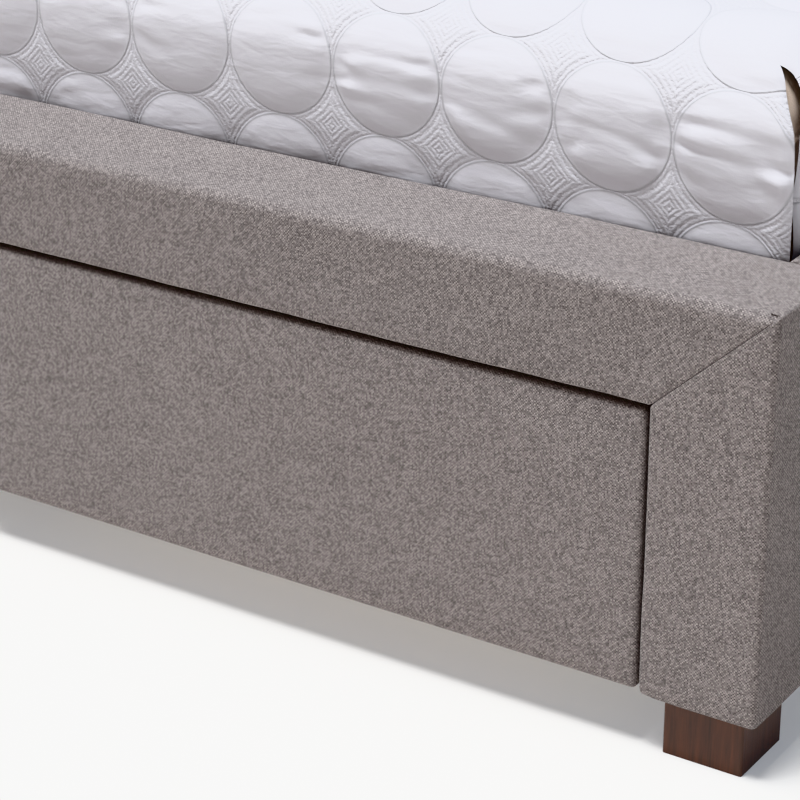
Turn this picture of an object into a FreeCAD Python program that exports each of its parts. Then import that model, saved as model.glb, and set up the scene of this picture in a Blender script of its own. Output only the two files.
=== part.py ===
import FreeCAD, Part
import os
import Sketcher

# Upholstered platform bed with two drawers in the foot end.
# X runs across the bed, -Y is the foot end, +Y the head, +Z up. Millimetres.
# The origin is on the floor, under the middle of the bed.

os.makedirs("parts", exist_ok=True)
doc = FreeCAD.newDocument("platform_bed")

# ---------------------------------------------------------------- driving dimensions

DIMENSIONS = (
    ("overall_width", 1640, "over the side covers"),
    ("overall_length", 2252, "footboard front to headboard back"),
    ("footboard_height", 403, "floor to the top of the footboard and side rails"),
    ("headboard_height", 1180, "floor to the top of the headboard"),
    ("footboard_depth", 118, "front to back"),
    ("headboard_depth", 90, "front to back"),
    ("border_width", 106, "face of a footboard post and of the headboard border"),
    ("rail_face", 96.5, "face of the rail above the drawers"),
    ("floor_gap", 50, "clear height under the covers, which is the feet's height"),
    ("foot_side", 72, "square foot"),
    ("foot_inset", 12.5, "foot behind the outer face of the side cover"),
    ("foot_end_inset", 7, "foot behind the front face of the footboard"),
    ("foot_edge", 2, "rounding of the foot's upright edges"),
    ("stud_radius", 4, "stud that joins a foot to the frame"),
    ("stud_clearance", 0.1, "round the stud"),
    ("stud_low", 18, "lower end of the stud, in the foot"),
    ("stud_top", 85, "upper end of the stud, in the post"),
    ("stud_hole_spare", 4, "hole beyond each end of the stud"),
    ("foot_block", 50, "solid wood at the bottom of a post"),
    ("padding", 10, "foam and fabric on an outer face"),
    ("lining", 2, "fabric alone on a hidden face"),
    ("cover_radius", 12, "rounding of the padded upper edges"),
    ("post_radius", 6, "rounding of a post's upright outer edge"),
    ("board", 18, "plywood and particle board"),
    ("headboard_padding", 34, "foam in front of the headboard frame"),
    ("headboard_field_low", 320, "bottom of the padded field"),
    ("headboard_lower_rail", 120, "height of the lower rail"),
    ("headboard_panel", 12, "plywood behind the padded field"),
    ("headboard_field_setback", 8, "padded field behind the face of the border"),
    ("headboard_field_gap", 1, "padded field to the border"),
    ("rail_depth", 50, "side rail with its cover"),
    ("mattress_width", 1524, "queen"),
    ("mattress_length", 2032, "queen"),
    ("mattress_thickness", 242, ""),
    ("mattress_wall", 15, "quilted case round the hollow core"),
    ("mattress_edge", 30, "rounding of the upright edges"),
    ("coverlet_side", 5, "quilted cloth at the sides"),
    ("coverlet_top", 7, "quilted cloth on the top"),
    ("coverlet_ease", 1, "mattress to coverlet"),
    ("coverlet_hem", 335, "lower edge of the coverlet"),
    ("slat_top", 325, "support height of the mattress"),
    ("slat_thickness", 20, ""),
    ("slat_width", 70, ""),
    ("slat_length", 1530, ""),
    ("slat_count", 14, ""),
    ("slat_end_gap", 8, "first and last slat from the footboard and headboard"),
    ("strap_width", 30, ""),
    ("strap_thickness", 1.5, ""),
    ("strap_offset", 500, "from the middle of the bed"),
    ("ledger_width", 30, "strip that carries the slat ends"),
    ("ledger_height", 40, ""),
    ("beam_width", 40, "steel tube under the middle of the slats"),
    ("beam_height", 50, ""),
    ("tube_wall", 2, ""),
    ("leg_side", 30, "steel tube leg under the beam"),
    ("leg_bottom", 40, "lower end of the legs"),
    ("front_leg_place", -960, "along the bed"),
    ("middle_leg_place", -150, ""),
    ("rear_leg_place", 600, ""),
    ("leveller_pad_radius", 20, ""),
    ("leveller_pad_height", 6, ""),
    ("leveller_stem_radius", 5, ""),
    ("leveller_stem_top", 68, ""),
    ("leveller_clearance", 0.05, "round the stem"),
    ("insert_flange", 4, "under the tube's end"),
    ("insert_plug", 24, "inside the tube"),
    ("bay_low", 70, "underside of the drawer housing"),
    ("bay_depth", 646, "footboard front to the rear stretcher"),
    ("spacer_front", 68, "front spacer behind the footboard"),
    ("spacer_rear", 120, "rear spacer in front of the stretcher"),
    ("spacer_height", 40, ""),
    ("drawer_gap_side", 3.5, "drawer front to post"),
    ("drawer_gap_top", 5, "drawer front to rail"),
    ("drawer_gap_middle", 4, "between the two drawer fronts"),
    ("drawer_lift", 2.2, "drawer front above the bottom of the posts"),
    ("drawer_setback", 1.5, "drawer front behind the footboard's face"),
    ("drawer_front_depth", 28.5, ""),
    ("drawer_front_edge", 8, "rounding of the drawer front"),
    ("drawer_front_padding", 5, "foam and fabric at the edges of a drawer front"),
    ("drawer_board", 15, "sides and back of the drawer box"),
    ("drawer_box_low", 75, ""),
    ("drawer_box_top", 235, ""),
    ("drawer_box_back", -488, "rear end of the drawer sides"),
    ("drawer_floor_low", 85, ""),
    ("drawer_floor", 6, "plywood bottom, in grooves as wide and as deep"),
    ("slide_space", 12.7, "drawer box to housing"),
    ("slide_height", 45, ""),
    ("slide_centre", 154.5, "height of the slides' middle"),
    ("slide_length", 600, ""),
    ("slide_sheet", 1.2, "sheet steel"),
    ("housing_flange", 9, ""),
    ("middle_flange", 8, ""),
    ("middle_offset", 2.4, "middle member from the housing"),
    ("middle_setback", 2, "middle member inside the ends of the slide"),
    ("inner_flange", 7, ""),
    ("slide_front_inset", 34, "slide behind the footboard's face"),
    ("middle_height", 38, "middle member"),
    ("inner_height", 30, "drawer member"),
    ("bumper_radius", 6, ""),
    ("bumper_thickness", 3.5, ""),
    ("bumper_offset", 11, "from the middle of the bed"),
    ("bumper_low", 100, "height of the lower bumpers"),
    ("bumper_high", 220, "height of the upper bumpers"),
    ("bracket_sheet", 3, ""),
    ("bracket_reach", 36, "leg along the footboard and headboard"),
    ("bracket_run", 60, "leg along the side rail"),
    ("bracket_low", 100, ""),
    ("bracket_height", 120, ""),
    ("screw_radius", 3, ""),
    ("screw_head_radius", 6, ""),
    ("screw_head", 3, ""),
    ("screw_length", 28, ""),
    ("screw_inset", 20, "screws from the upper and lower ends and the inner edge of a bracket"),
    ("screw_run", 40, "rail screws from the footboard and headboard"),
)

sheet = doc.addObject("Spreadsheet::Sheet", "dim")
for row, (alias, number, note) in enumerate(DIMENSIONS, start=1):
    sheet.set(f"A{row}", alias.replace("_", " "))
    sheet.set(f"B{row}", str(number))
    sheet.set(f"C{row}", note)
    sheet.setAlias(f"B{row}", alias)
doc.recompute()

# Planes that several pieces share, as expressions on the sheet.
SIDE = "dim.overall_width / 2"
OPENING = "dim.overall_width / 2 - dim.border_width"
RAIL_INNER = "dim.overall_width / 2 - dim.rail_depth"
FRAME_OUTER = "dim.overall_width / 2 - dim.padding"
FRONT = "-dim.overall_length / 2"
FOOTBOARD_BACK = "-dim.overall_length / 2 + dim.footboard_depth"
HEADBOARD_FRONT = "dim.overall_length / 2 - dim.headboard_depth"
BACK = "dim.overall_length / 2"
TOP = "dim.footboard_height"
OPENING_TOP = "dim.footboard_height - dim.rail_face"
FLOOR_GAP = "dim.floor_gap"
SLAT_LOW = "dim.slat_top - dim.slat_thickness"
BEAM_LOW = "dim.slat_top - dim.slat_thickness - dim.beam_height"
BAY_BACK = "-dim.overall_length / 2 + dim.bay_depth"

UP = FreeCAD.Vector(0, 0, 1)
TO_FRONT = FreeCAD.Vector(0, -1, 0)
TO_RIGHT = FreeCAD.Vector(1, 0, 0)

RIGHT = 1
LEFT = -1
SIDE_NAMES = {LEFT: "left", RIGHT: "right"}


# ---------------------------------------------------------------- ways of making a piece

def value(expression):
    """The number that an expression on the sheet gives."""
    return float(sheet.evalExpression(expression))


def across(side, low, high):
    """Limits along X, given for the right-hand side and mirrored for the left."""
    if side == RIGHT:
        return low, high
    return f"-({high})", f"-({low})"


def flipped(side, points):
    """Points whose first coordinate is mirrored for the left-hand side."""
    return [(f"{side} * ({u})", v) for u, v in points]


def rectangle(u_limits, v_limits):
    """The corners of a rectangle in a sketch."""
    (u_low, u_high), (v_low, v_high) = u_limits, v_limits
    return [(u_low, v_low), (u_high, v_low), (u_high, v_high), (u_low, v_high)]


def board(label, x, y, z):
    """A rectangular piece between two limits along each axis."""
    piece = doc.addObject("Part::Box", label)
    for axis, size, (low, high) in zip("xyz", ("Length", "Width", "Height"), (x, y, z)):
        piece.setExpression(f"Placement.Base.{axis}", low)
        piece.setExpression(size, f"({high}) - ({low})")
    return piece


def group(label, pieces):
    """Separate solids of one kind that share a node."""
    together = doc.addObject("Part::Compound", label)
    together.Links = pieces
    return together


def new_sketch(body, plane, offset):
    """A sketch parallel to one of the body's origin planes."""
    sketch = body.newObject("Sketcher::SketchObject", f"{body.Name}_sketch")
    origin_plane = next(part for part in body.Origin.OriginFeatures if part.Role == plane)
    sketch.AttachmentSupport = [(origin_plane, "")]
    sketch.MapMode = "FlatFace"
    sketch.setExpression("AttachmentOffset.Base.z", offset)
    return sketch


def bind(sketch, kind, place, expression):
    """One dimension of a sketch, driven by the sheet."""
    number = sketch.addConstraint(Sketcher.Constraint(kind, *place, value(expression)))
    sketch.setExpression(f"Constraints[{number}]", expression)


def draw_loop(sketch, points):
    """A closed outline of straight lines, with every corner driven by the sheet."""
    first = sketch.GeometryCount
    count = len(points)
    corners = [FreeCAD.Vector(value(u), value(v), 0) for u, v in points]
    for start, end in zip(corners, corners[1:] + corners[:1]):
        sketch.addGeometry(Part.LineSegment(start, end))
    for index in range(count):
        following = first + (index + 1) % count
        sketch.addConstraint(Sketcher.Constraint("Coincident", first + index, 2, following, 1))
    for index, (u, v) in enumerate(points):
        bind(sketch, "DistanceX", (-1, 1, first + index, 1), u)
        bind(sketch, "DistanceY", (-1, 1, first + index, 1), v)


def draw_circle(sketch, centre, radius):
    """A circle with its centre and radius driven by the sheet."""
    number = sketch.GeometryCount
    middle = FreeCAD.Vector(value(centre[0]), value(centre[1]), 0)
    sketch.addGeometry(Part.Circle(middle, FreeCAD.Vector(0, 0, 1), value(radius)))
    bind(sketch, "DistanceX", (-1, 1, number, 3), centre[0])
    bind(sketch, "DistanceY", (-1, 1, number, 3), centre[1])
    bind(sketch, "Radius", (number,), radius)


def start_of(plane, limits):
    """Where a sketch lies so that its feature grows along the plane's normal: XZ faces -Y."""
    return f"-({limits[1]})" if plane == "XZ_Plane" else limits[0]


def extrusion(label, plane, limits, loops):
    """A body padded between two limits from closed outlines on one plane."""
    body = doc.addObject("PartDesign::Body", label)
    sketch = new_sketch(body, plane, start_of(plane, limits))
    for loop in loops:
        draw_loop(sketch, loop)
    pad = body.newObject("PartDesign::Pad", f"{label}_pad")
    pad.Profile = sketch
    pad.setExpression("Length", f"({limits[1]}) - ({limits[0]})")
    doc.recompute()
    return body


def cut_pocket(body, sketch, limits):
    """Cuts the sketch's outline out of the body, between two limits."""
    before = body.Shape.Volume
    pocket = body.newObject("PartDesign::Pocket", f"{body.Name}_pocket")
    pocket.Profile = sketch
    pocket.Reversed = True
    pocket.setExpression("Length", f"({limits[1]}) - ({limits[0]})")
    doc.recompute()
    if body.Shape.Volume >= before:
        raise RuntimeError(f"{pocket.Name} cuts nothing")


def carve(body, plane, limits, loop):
    """A pocket with straight sides."""
    sketch = new_sketch(body, plane, start_of(plane, limits))
    draw_loop(sketch, loop)
    cut_pocket(body, sketch, limits)


def drill(body, plane, limits, centres, radius):
    """Round holes of one size."""
    sketch = new_sketch(body, plane, start_of(plane, limits))
    for centre in centres:
        draw_circle(sketch, centre, radius)
    cut_pocket(body, sketch, limits)


def round_edges(body, radius, *places):
    """Rounds the edges that lie at given coordinates: each place is such as {"y": FRONT, "z": TOP}."""
    sharp = body.Tip
    names = []
    for place in places:
        wanted = [(axis.upper(), value(expression)) for axis, expression in place.items()]
        for number, edge in enumerate(sharp.Shape.Edges, start=1):
            limits = [(getattr(edge.BoundBox, f"{axis}{end}"), at)
                      for axis, at in wanted for end in ("Min", "Max")]
            if all(abs(limit - at) < 0.01 for limit, at in limits):
                names.append(f"Edge{number}")
    if not names:
        raise RuntimeError(f"{body.Name} has no edge at {places}")
    rounding = body.newObject("PartDesign::Fillet", f"{body.Name}_rounding")
    rounding.Base = (sharp, names)
    rounding.setExpression("Radius", radius)
    doc.recompute()


def rod(label, start, direction, length, radius):
    """A round piece that runs from a point along a direction."""
    piece = doc.addObject("Part::Cylinder", label)
    piece.Placement = FreeCAD.Placement(FreeCAD.Vector(), FreeCAD.Rotation(UP, direction))
    for axis, expression in zip("xyz", start):
        piece.setExpression(f"Placement.Base.{axis}", expression)
    piece.setExpression("Radius", radius)
    piece.setExpression("Height", length)
    return piece


# ---------------------------------------------------------------- feet and their studs

FOOT_X = f"{SIDE} - dim.foot_inset - dim.foot_side / 2"
FRONT_FOOT_Y = f"{FRONT} + dim.foot_end_inset + dim.foot_side / 2"
REAR_FOOT_Y = f"{BACK} - dim.lining - dim.foot_side / 2"
STUD_HOLE = "dim.stud_radius + dim.stud_clearance"


def foot(label, x, y):
    """A square block foot with a blind hole in its top."""
    half = "dim.foot_side / 2"
    square = rectangle((f"{x} - {half}", f"{x} + {half}"), (f"{y} - {half}", f"{y} + {half}"))
    body = extrusion(label, "XY_Plane", ("0", FLOOR_GAP), [square])
    drill(body, "XY_Plane", ("dim.stud_low - dim.stud_hole_spare", FLOOR_GAP), [(x, y)], STUD_HOLE)
    round_edges(body, "dim.foot_edge", *[{"x": corner[0], "y": corner[1]} for corner in square])


studs = []
for end, foot_y in (("front", FRONT_FOOT_Y), ("rear", REAR_FOOT_Y)):
    for side, side_name in SIDE_NAMES.items():
        foot_x = f"{side} * ({FOOT_X})"
        foot(f"{end}_{side_name}_foot", foot_x, foot_y)
        studs.append(rod(f"{end}_{side_name}_stud", (foot_x, foot_y, "dim.stud_low"), UP,
                         "dim.stud_top - dim.stud_low", "dim.stud_radius"))
group("foot_studs", studs)

# ---------------------------------------------------------------- footboard

CORE_FRONT = f"{FRONT} + dim.padding"
CORE_BACK = f"{FOOTBOARD_BACK} - dim.lining"
CORE_RAIL_LOW = f"{OPENING_TOP} + dim.lining"
CORE_TOP = f"{TOP} - dim.padding"
CORE_INNER = f"{OPENING} + 1.5 * dim.lining"
CORE_DEPTH = (CORE_FRONT, CORE_BACK)
FOOTBOARD_DEPTH = (FRONT, FOOTBOARD_BACK)

# Box beam of plywood that runs the whole width over the drawers.
beam_outline = rectangle((CORE_FRONT, CORE_BACK), (CORE_RAIL_LOW, CORE_TOP))
beam_cavity = rectangle((f"{CORE_FRONT} + dim.board", f"{CORE_BACK} - dim.board"),
                        (f"{CORE_RAIL_LOW} + dim.board", f"{CORE_TOP} - dim.board"))
extrusion("footboard_rail_core", "YZ_Plane", (f"-({FRAME_OUTER})", FRAME_OUTER),
          [beam_outline, beam_cavity])


def post_core(side):
    """Hollow post under the box beam, with a thick foot block that takes the stud."""
    x = across(side, CORE_INNER, FRAME_OUTER)
    cavity_x = across(side, f"{CORE_INNER} + dim.board", f"{FRAME_OUTER} - dim.board")
    cavity_y = (f"{CORE_FRONT} + dim.board", f"{CORE_BACK} - dim.board")
    body = extrusion(f"{SIDE_NAMES[side]}_post_core", "XY_Plane", (FLOOR_GAP, CORE_RAIL_LOW),
                     [rectangle(x, CORE_DEPTH)])
    carve(body, "XY_Plane", (f"{FLOOR_GAP} + dim.foot_block", CORE_RAIL_LOW),
          rectangle(cavity_x, cavity_y))
    drill(body, "XY_Plane", (FLOOR_GAP, "dim.stud_top + dim.stud_hole_spare"),
          [(f"{side} * ({FOOT_X})", FRONT_FOOT_Y)], STUD_HOLE)


def post_cover(side):
    """Padded cover of a post, mitred into the top cover at the corner."""
    outline = flipped(side, [(OPENING, FLOOR_GAP), (SIDE, FLOOR_GAP), (SIDE, TOP), (OPENING, OPENING_TOP)])
    body = extrusion(f"{SIDE_NAMES[side]}_post_cover", "XZ_Plane", FOOTBOARD_DEPTH, [outline])
    carve(body, "XZ_Plane", CORE_DEPTH,
          rectangle(across(side, CORE_INNER, FRAME_OUTER), (FLOOR_GAP, CORE_RAIL_LOW)))
    carve(body, "XZ_Plane", CORE_DEPTH,
          rectangle(across(side, OPENING, FRAME_OUTER), (CORE_RAIL_LOW, CORE_TOP)))
    round_edges(body, "dim.post_radius", {"x": f"{side} * ({SIDE})", "y": FRONT})


for side in SIDE_NAMES:
    post_core(side)
    post_cover(side)

top_outline = [(f"-({OPENING})", OPENING_TOP), (OPENING, OPENING_TOP), (SIDE, TOP), (f"-({SIDE})", TOP)]
top_cover = extrusion("footboard_top_cover", "XZ_Plane", FOOTBOARD_DEPTH, [top_outline])
carve(top_cover, "XZ_Plane", CORE_DEPTH,
      rectangle((f"-({FRAME_OUTER})", FRAME_OUTER), (CORE_RAIL_LOW, CORE_TOP)))
round_edges(top_cover, "dim.cover_radius", {"y": FRONT, "z": TOP})
round_edges(top_cover, "dim.cover_radius / 2", {"y": FOOTBOARD_BACK, "z": TOP})

# ---------------------------------------------------------------- side rails

RAIL_BOARD_X = (f"{RAIL_INNER} + dim.lining", f"{SIDE} - dim.padding - dim.lining")
RAIL_BOARD_Z = (f"{FLOOR_GAP} + dim.lining", f"{TOP} - dim.padding - dim.lining")
RAIL_RUN = (FOOTBOARD_BACK, HEADBOARD_FRONT)

ledgers = []
for side, side_name in SIDE_NAMES.items():
    board(f"{side_name}_rail_board", across(side, *RAIL_BOARD_X), RAIL_RUN, RAIL_BOARD_Z)
    rail_cover = extrusion(f"{side_name}_rail_cover", "XZ_Plane", RAIL_RUN,
                           [rectangle(across(side, RAIL_INNER, SIDE), (FLOOR_GAP, TOP)),
                            rectangle(across(side, *RAIL_BOARD_X), RAIL_BOARD_Z)])
    round_edges(rail_cover, "dim.cover_radius", {"x": f"{side} * ({SIDE})", "z": TOP})
    round_edges(rail_cover, "dim.cover_radius / 3", {"x": f"{side} * ({SIDE})", "z": FLOOR_GAP})
    ledgers.append(board(f"{side_name}_ledger", across(side, f"{RAIL_INNER} - dim.ledger_width", RAIL_INNER),
                         RAIL_RUN, (f"{SLAT_LOW} - dim.ledger_height", SLAT_LOW)))
group("slat_ledgers", ledgers)

# ---------------------------------------------------------------- slats

FIRST_SLAT = f"{FOOTBOARD_BACK} + dim.slat_end_gap"
LAST_SLAT = f"{HEADBOARD_FRONT} - dim.slat_end_gap"
SLAT_STEP = f"(({LAST_SLAT}) - ({FIRST_SLAT}) - dim.slat_width) / (dim.slat_count - 1)"

slats = []
for number in range(int(value("dim.slat_count"))):
    slat_front = f"{FIRST_SLAT} + {number} * {SLAT_STEP}"
    slats.append(board(f"slat_{number + 1}", ("-dim.slat_length / 2", "dim.slat_length / 2"),
                       (slat_front, f"{slat_front} + dim.slat_width"), (SLAT_LOW, "dim.slat_top")))
group("slats", slats)

straps = []
for side, side_name in SIDE_NAMES.items():
    strap_x = across(side, "dim.strap_offset - dim.strap_width / 2", "dim.strap_offset + dim.strap_width / 2")
    straps.append(board(f"{side_name}_strap", strap_x, (FIRST_SLAT, LAST_SLAT),
                        (f"{SLAT_LOW} - dim.strap_thickness", SLAT_LOW)))
group("slat_straps", straps)

# ---------------------------------------------------------------- middle beam, legs and levellers

BEAM_X = ("-dim.beam_width / 2", "dim.beam_width / 2")
BEAM_FRONT = "-dim.overall_length / 2 + dim.slide_front_inset"
HANGER_X = ("-dim.beam_width", "dim.beam_width")

beam_hole = rectangle((f"{BEAM_X[0]} + dim.tube_wall", f"{BEAM_X[1]} - dim.tube_wall"),
                      (f"{BEAM_LOW} + dim.tube_wall", f"{SLAT_LOW} - dim.tube_wall"))
extrusion("center_beam", "XZ_Plane", (BEAM_FRONT, f"{HEADBOARD_FRONT} - dim.bracket_sheet"),
          [rectangle(BEAM_X, (BEAM_LOW, SLAT_LOW)), beam_hole])

# The front hanger packs the beam against the footboard; the rear one is an angle on the headboard.
front_hanger = board("front_hanger", HANGER_X, (BEAM_FRONT, FOOTBOARD_BACK), (SLAT_LOW, OPENING_TOP))
hanger_face = f"{HEADBOARD_FRONT} - dim.bracket_sheet"
hanger_top = f"{BEAM_LOW} - dim.bracket_sheet"
rear_hanger = extrusion("rear_hanger", "YZ_Plane", HANGER_X, [[
    (f"{HEADBOARD_FRONT} - dim.bracket_run", BEAM_LOW),
    (HEADBOARD_FRONT, BEAM_LOW),
    (HEADBOARD_FRONT, f"{BEAM_LOW} - dim.bracket_run"),
    (hanger_face, f"{BEAM_LOW} - dim.bracket_run"),
    (hanger_face, hanger_top),
    (f"{HEADBOARD_FRONT} - dim.bracket_run", hanger_top),
]])
group("beam_hangers", [front_hanger, rear_hanger])


def square_at(place, side):
    """A square of the given side on the beam's line, at a place along the bed."""
    return rectangle((f"-({side}) / 2", f"({side}) / 2"), (f"{place} - ({side}) / 2", f"{place} + ({side}) / 2"))


INSERT_LOW = "dim.leg_bottom - dim.insert_flange"
PLUG_SIDE = "dim.leg_side - 2 * dim.tube_wall"
PLUG_TOP = "dim.leg_bottom + dim.insert_plug"


def leveller_insert(name, place):
    """Plastic plug in a leg's lower end that guides the leveller's stem."""
    body = extrusion(f"{name}_insert", "XY_Plane", (INSERT_LOW, PLUG_TOP), [square_at(place, PLUG_SIDE)])
    flange = new_sketch(body, "XY_Plane", INSERT_LOW)
    draw_loop(flange, square_at(place, "dim.leg_side"))
    pad = body.newObject("PartDesign::Pad", f"{name}_flange")
    pad.Profile = flange
    pad.setExpression("Length", "dim.insert_flange")
    doc.recompute()
    drill(body, "XY_Plane", (INSERT_LOW, PLUG_TOP), [("0", place)],
          "dim.leveller_stem_radius + dim.leveller_clearance")
    return body


def leveller(name, place):
    """Screwed foot under a leg: a round pad and its stem, turned in one piece."""
    body = doc.addObject("PartDesign::Body", f"{name}_leveller")
    body.setExpression("Placement.Base.y", place)
    sketch = new_sketch(body, "XZ_Plane", "0")
    draw_loop(sketch, [
        ("0", "0"),
        ("dim.leveller_pad_radius", "0"),
        ("dim.leveller_pad_radius", "dim.leveller_pad_height"),
        ("dim.leveller_stem_radius", "dim.leveller_pad_height"),
        ("dim.leveller_stem_radius", "dim.leveller_stem_top"),
        ("0", "dim.leveller_stem_top"),
    ])
    turned = body.newObject("PartDesign::Revolution", f"{name}_turned")
    turned.Profile = sketch
    turned.ReferenceAxis = (sketch, ["V_Axis"])
    turned.Angle = 360
    doc.recompute()


legs = []
inserts = []
for name, leg_top in (("front", "dim.bay_low"), ("middle", BEAM_LOW), ("rear", BEAM_LOW)):
    leg_place = f"dim.{name}_leg_place"
    legs.append(extrusion(f"{name}_leg", "XY_Plane", ("dim.leg_bottom", leg_top),
                          [square_at(leg_place, "dim.leg_side"), square_at(leg_place, PLUG_SIDE)]))
    inserts.append(leveller_insert(name, leg_place))
    leveller(name, leg_place)
group("center_legs", legs)
group("leveller_inserts", inserts)

# ---------------------------------------------------------------- drawer housing

SLIDE_Y = (f"{FRONT} + dim.slide_front_inset", f"{FRONT} + dim.slide_front_inset + dim.slide_length")
BAY_Z = ("dim.bay_low", BEAM_LOW)

board("center_divider", ("-dim.board", "dim.board"), (SLIDE_Y[0], BAY_BACK), BAY_Z)
board("rear_stretcher", (f"-({RAIL_INNER})", RAIL_INNER), (BAY_BACK, f"{BAY_BACK} + dim.board"), BAY_Z)

spacers = []
bumpers = []
for side, side_name in SIDE_NAMES.items():
    runner_outer = f"{OPENING} + dim.board"
    board(f"{side_name}_runner_board", across(side, OPENING, runner_outer), (FOOTBOARD_BACK, BAY_BACK), BAY_Z)
    spacer_fronts = {"front": f"{FOOTBOARD_BACK} + dim.spacer_front", "rear": f"{BAY_BACK} - dim.spacer_rear"}
    for end, spacer_front in spacer_fronts.items():
        spacers.append(board(f"{side_name}_{end}_spacer", across(side, runner_outer, RAIL_INNER),
                             (spacer_front, f"{spacer_front} + dim.bracket_run"),
                             ("dim.slide_centre - dim.spacer_height / 2",
                              "dim.slide_centre + dim.spacer_height / 2")))
    for end, level in (("lower", "dim.bumper_low"), ("upper", "dim.bumper_high")):
        bumpers.append(rod(f"{side_name}_{end}_bumper", (f"{side} * dim.bumper_offset", SLIDE_Y[0], level),
                           TO_FRONT, "dim.bumper_thickness", "dim.bumper_radius"))
group("runner_spacers", spacers)
group("drawer_bumpers", bumpers)

# ---------------------------------------------------------------- drawers, given for the right-hand one

DRAWER_OUTER = f"{OPENING} - dim.slide_space"
DRAWER_INNER = "dim.board + dim.slide_space"
FRONT_X = ("dim.drawer_gap_middle / 2", f"{OPENING} - dim.drawer_gap_side")
FRONT_Y = (f"{FRONT} + dim.drawer_setback", f"{FRONT} + dim.drawer_setback + dim.drawer_front_depth")
FRONT_Z = (f"{FLOOR_GAP} + dim.drawer_lift", f"{OPENING_TOP} - dim.drawer_gap_top")
BOX_Y = (FRONT_Y[1], "dim.drawer_box_back")
BOX_Z = ("dim.drawer_box_low", "dim.drawer_box_top")
FLOOR_Z = ("dim.drawer_floor_low", "dim.drawer_floor_low + dim.drawer_floor")


def drawer_front(side, name):
    """Padded front: an open-backed cover over a board."""
    body = extrusion(f"{name}_front_cover", "XZ_Plane", FRONT_Y, [rectangle(across(side, *FRONT_X), FRONT_Z)])
    inset = "dim.drawer_front_padding"
    core_x = (f"{FRONT_X[0]} + {inset}", f"{FRONT_X[1]} - {inset}")
    core_y = (f"{FRONT_Y[0]} + dim.padding", FRONT_Y[1])
    core_z = (f"{FRONT_Z[0]} + {inset}", f"{FRONT_Z[1]} - {inset}")
    carve(body, "XZ_Plane", core_y, rectangle(across(side, *core_x), core_z))
    round_edges(body, "dim.drawer_front_edge", *[{"x": end, "y": FRONT_Y[0]} for end in across(side, *FRONT_X)])
    board(f"{name}_front_core", across(side, *core_x), core_y, core_z)


def drawer_side(side, label, face, inward):
    """Side of the drawer box, with a groove for the bottom in its inner face."""
    thickness = f"{inward} * dim.drawer_board"
    groove = f"{inward} * (dim.drawer_board - dim.drawer_floor)"
    inner = f"{face} + {thickness}"
    bottom_of_groove = f"{face} + {groove}"
    extrusion(label, "XZ_Plane", BOX_Y, [flipped(side, [
        (face, BOX_Z[0]),
        (inner, BOX_Z[0]),
        (inner, FLOOR_Z[0]),
        (bottom_of_groove, FLOOR_Z[0]),
        (bottom_of_groove, FLOOR_Z[1]),
        (inner, FLOOR_Z[1]),
        (inner, BOX_Z[1]),
        (face, BOX_Z[1]),
    ])])


def drawer_box(side, name):
    """Open box behind the front: two sides, a back and a bottom."""
    drawer_side(side, f"{name}_side_outer", DRAWER_OUTER, -1)
    drawer_side(side, f"{name}_side_inner", DRAWER_INNER, 1)
    inside_x = (f"{DRAWER_INNER} + dim.drawer_board", f"{DRAWER_OUTER} - dim.drawer_board")
    board(f"{name}_back", across(side, *inside_x), (f"{BOX_Y[1]} - dim.drawer_board", BOX_Y[1]),
          (FLOOR_Z[1], BOX_Z[1]))
    board(f"{name}_bottom", across(side, f"{inside_x[0]} - dim.drawer_floor", f"{inside_x[1]} + dim.drawer_floor"),
          BOX_Y, FLOOR_Z)


def channel(label, face, turn, web, depth, tall, y):
    """Sheet steel channel: a web beside a face, with two flanges that point along turn."""
    web_near = f"{face} + {turn} * ({web})"
    web_far = f"{web_near} + {turn} * dim.slide_sheet"
    tip = f"{web_near} + {turn} * ({depth})"
    low = f"dim.slide_centre - ({tall}) / 2"
    top = f"dim.slide_centre + ({tall}) / 2"
    return extrusion(label, "XZ_Plane", y, [[
        (web_near, low),
        (tip, low),
        (tip, f"{low} + dim.slide_sheet"),
        (web_far, f"{low} + dim.slide_sheet"),
        (web_far, f"{top} - dim.slide_sheet"),
        (tip, f"{top} - dim.slide_sheet"),
        (tip, top),
        (web_near, top),
    ]])


def slide(side, name, place, housing, turn):
    """One telescopic slide: housing, middle and drawer members, one inside the other."""
    face = f"{side} * ({housing})"
    outward = side * turn
    middle_y = (f"{SLIDE_Y[0]} + dim.middle_setback", f"{SLIDE_Y[1]} - dim.middle_setback")
    outer = channel(f"{name}_{place}_housing_member", face, outward, "0", "dim.housing_flange",
                    "dim.slide_height", SLIDE_Y)
    middle = channel(f"{name}_{place}_middle_member", face, outward, "dim.middle_offset", "dim.middle_flange",
                     "dim.middle_height", middle_y)
    inner = channel(f"{name}_{place}_drawer_member", f"{face} + {outward} * dim.slide_space", -outward, "0",
                    "dim.inner_flange", "dim.inner_height", SLIDE_Y)
    return outer, middle, inner


housing_members = []
for side, side_name in SIDE_NAMES.items():
    drawer = f"{side_name}_drawer"
    drawer_front(side, drawer)
    drawer_box(side, drawer)
    outer_slide = slide(side, drawer, "outer", OPENING, -1)
    inner_slide = slide(side, drawer, "inner", "dim.board", 1)
    housing_members += [outer_slide[0], inner_slide[0]]
    group(f"{drawer}_middle_members", [outer_slide[1], inner_slide[1]])
    group(f"{drawer}_slide_members", [outer_slide[2], inner_slide[2]])
group("slide_housing_members", housing_members)

# ---------------------------------------------------------------- corner brackets and their screws

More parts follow.
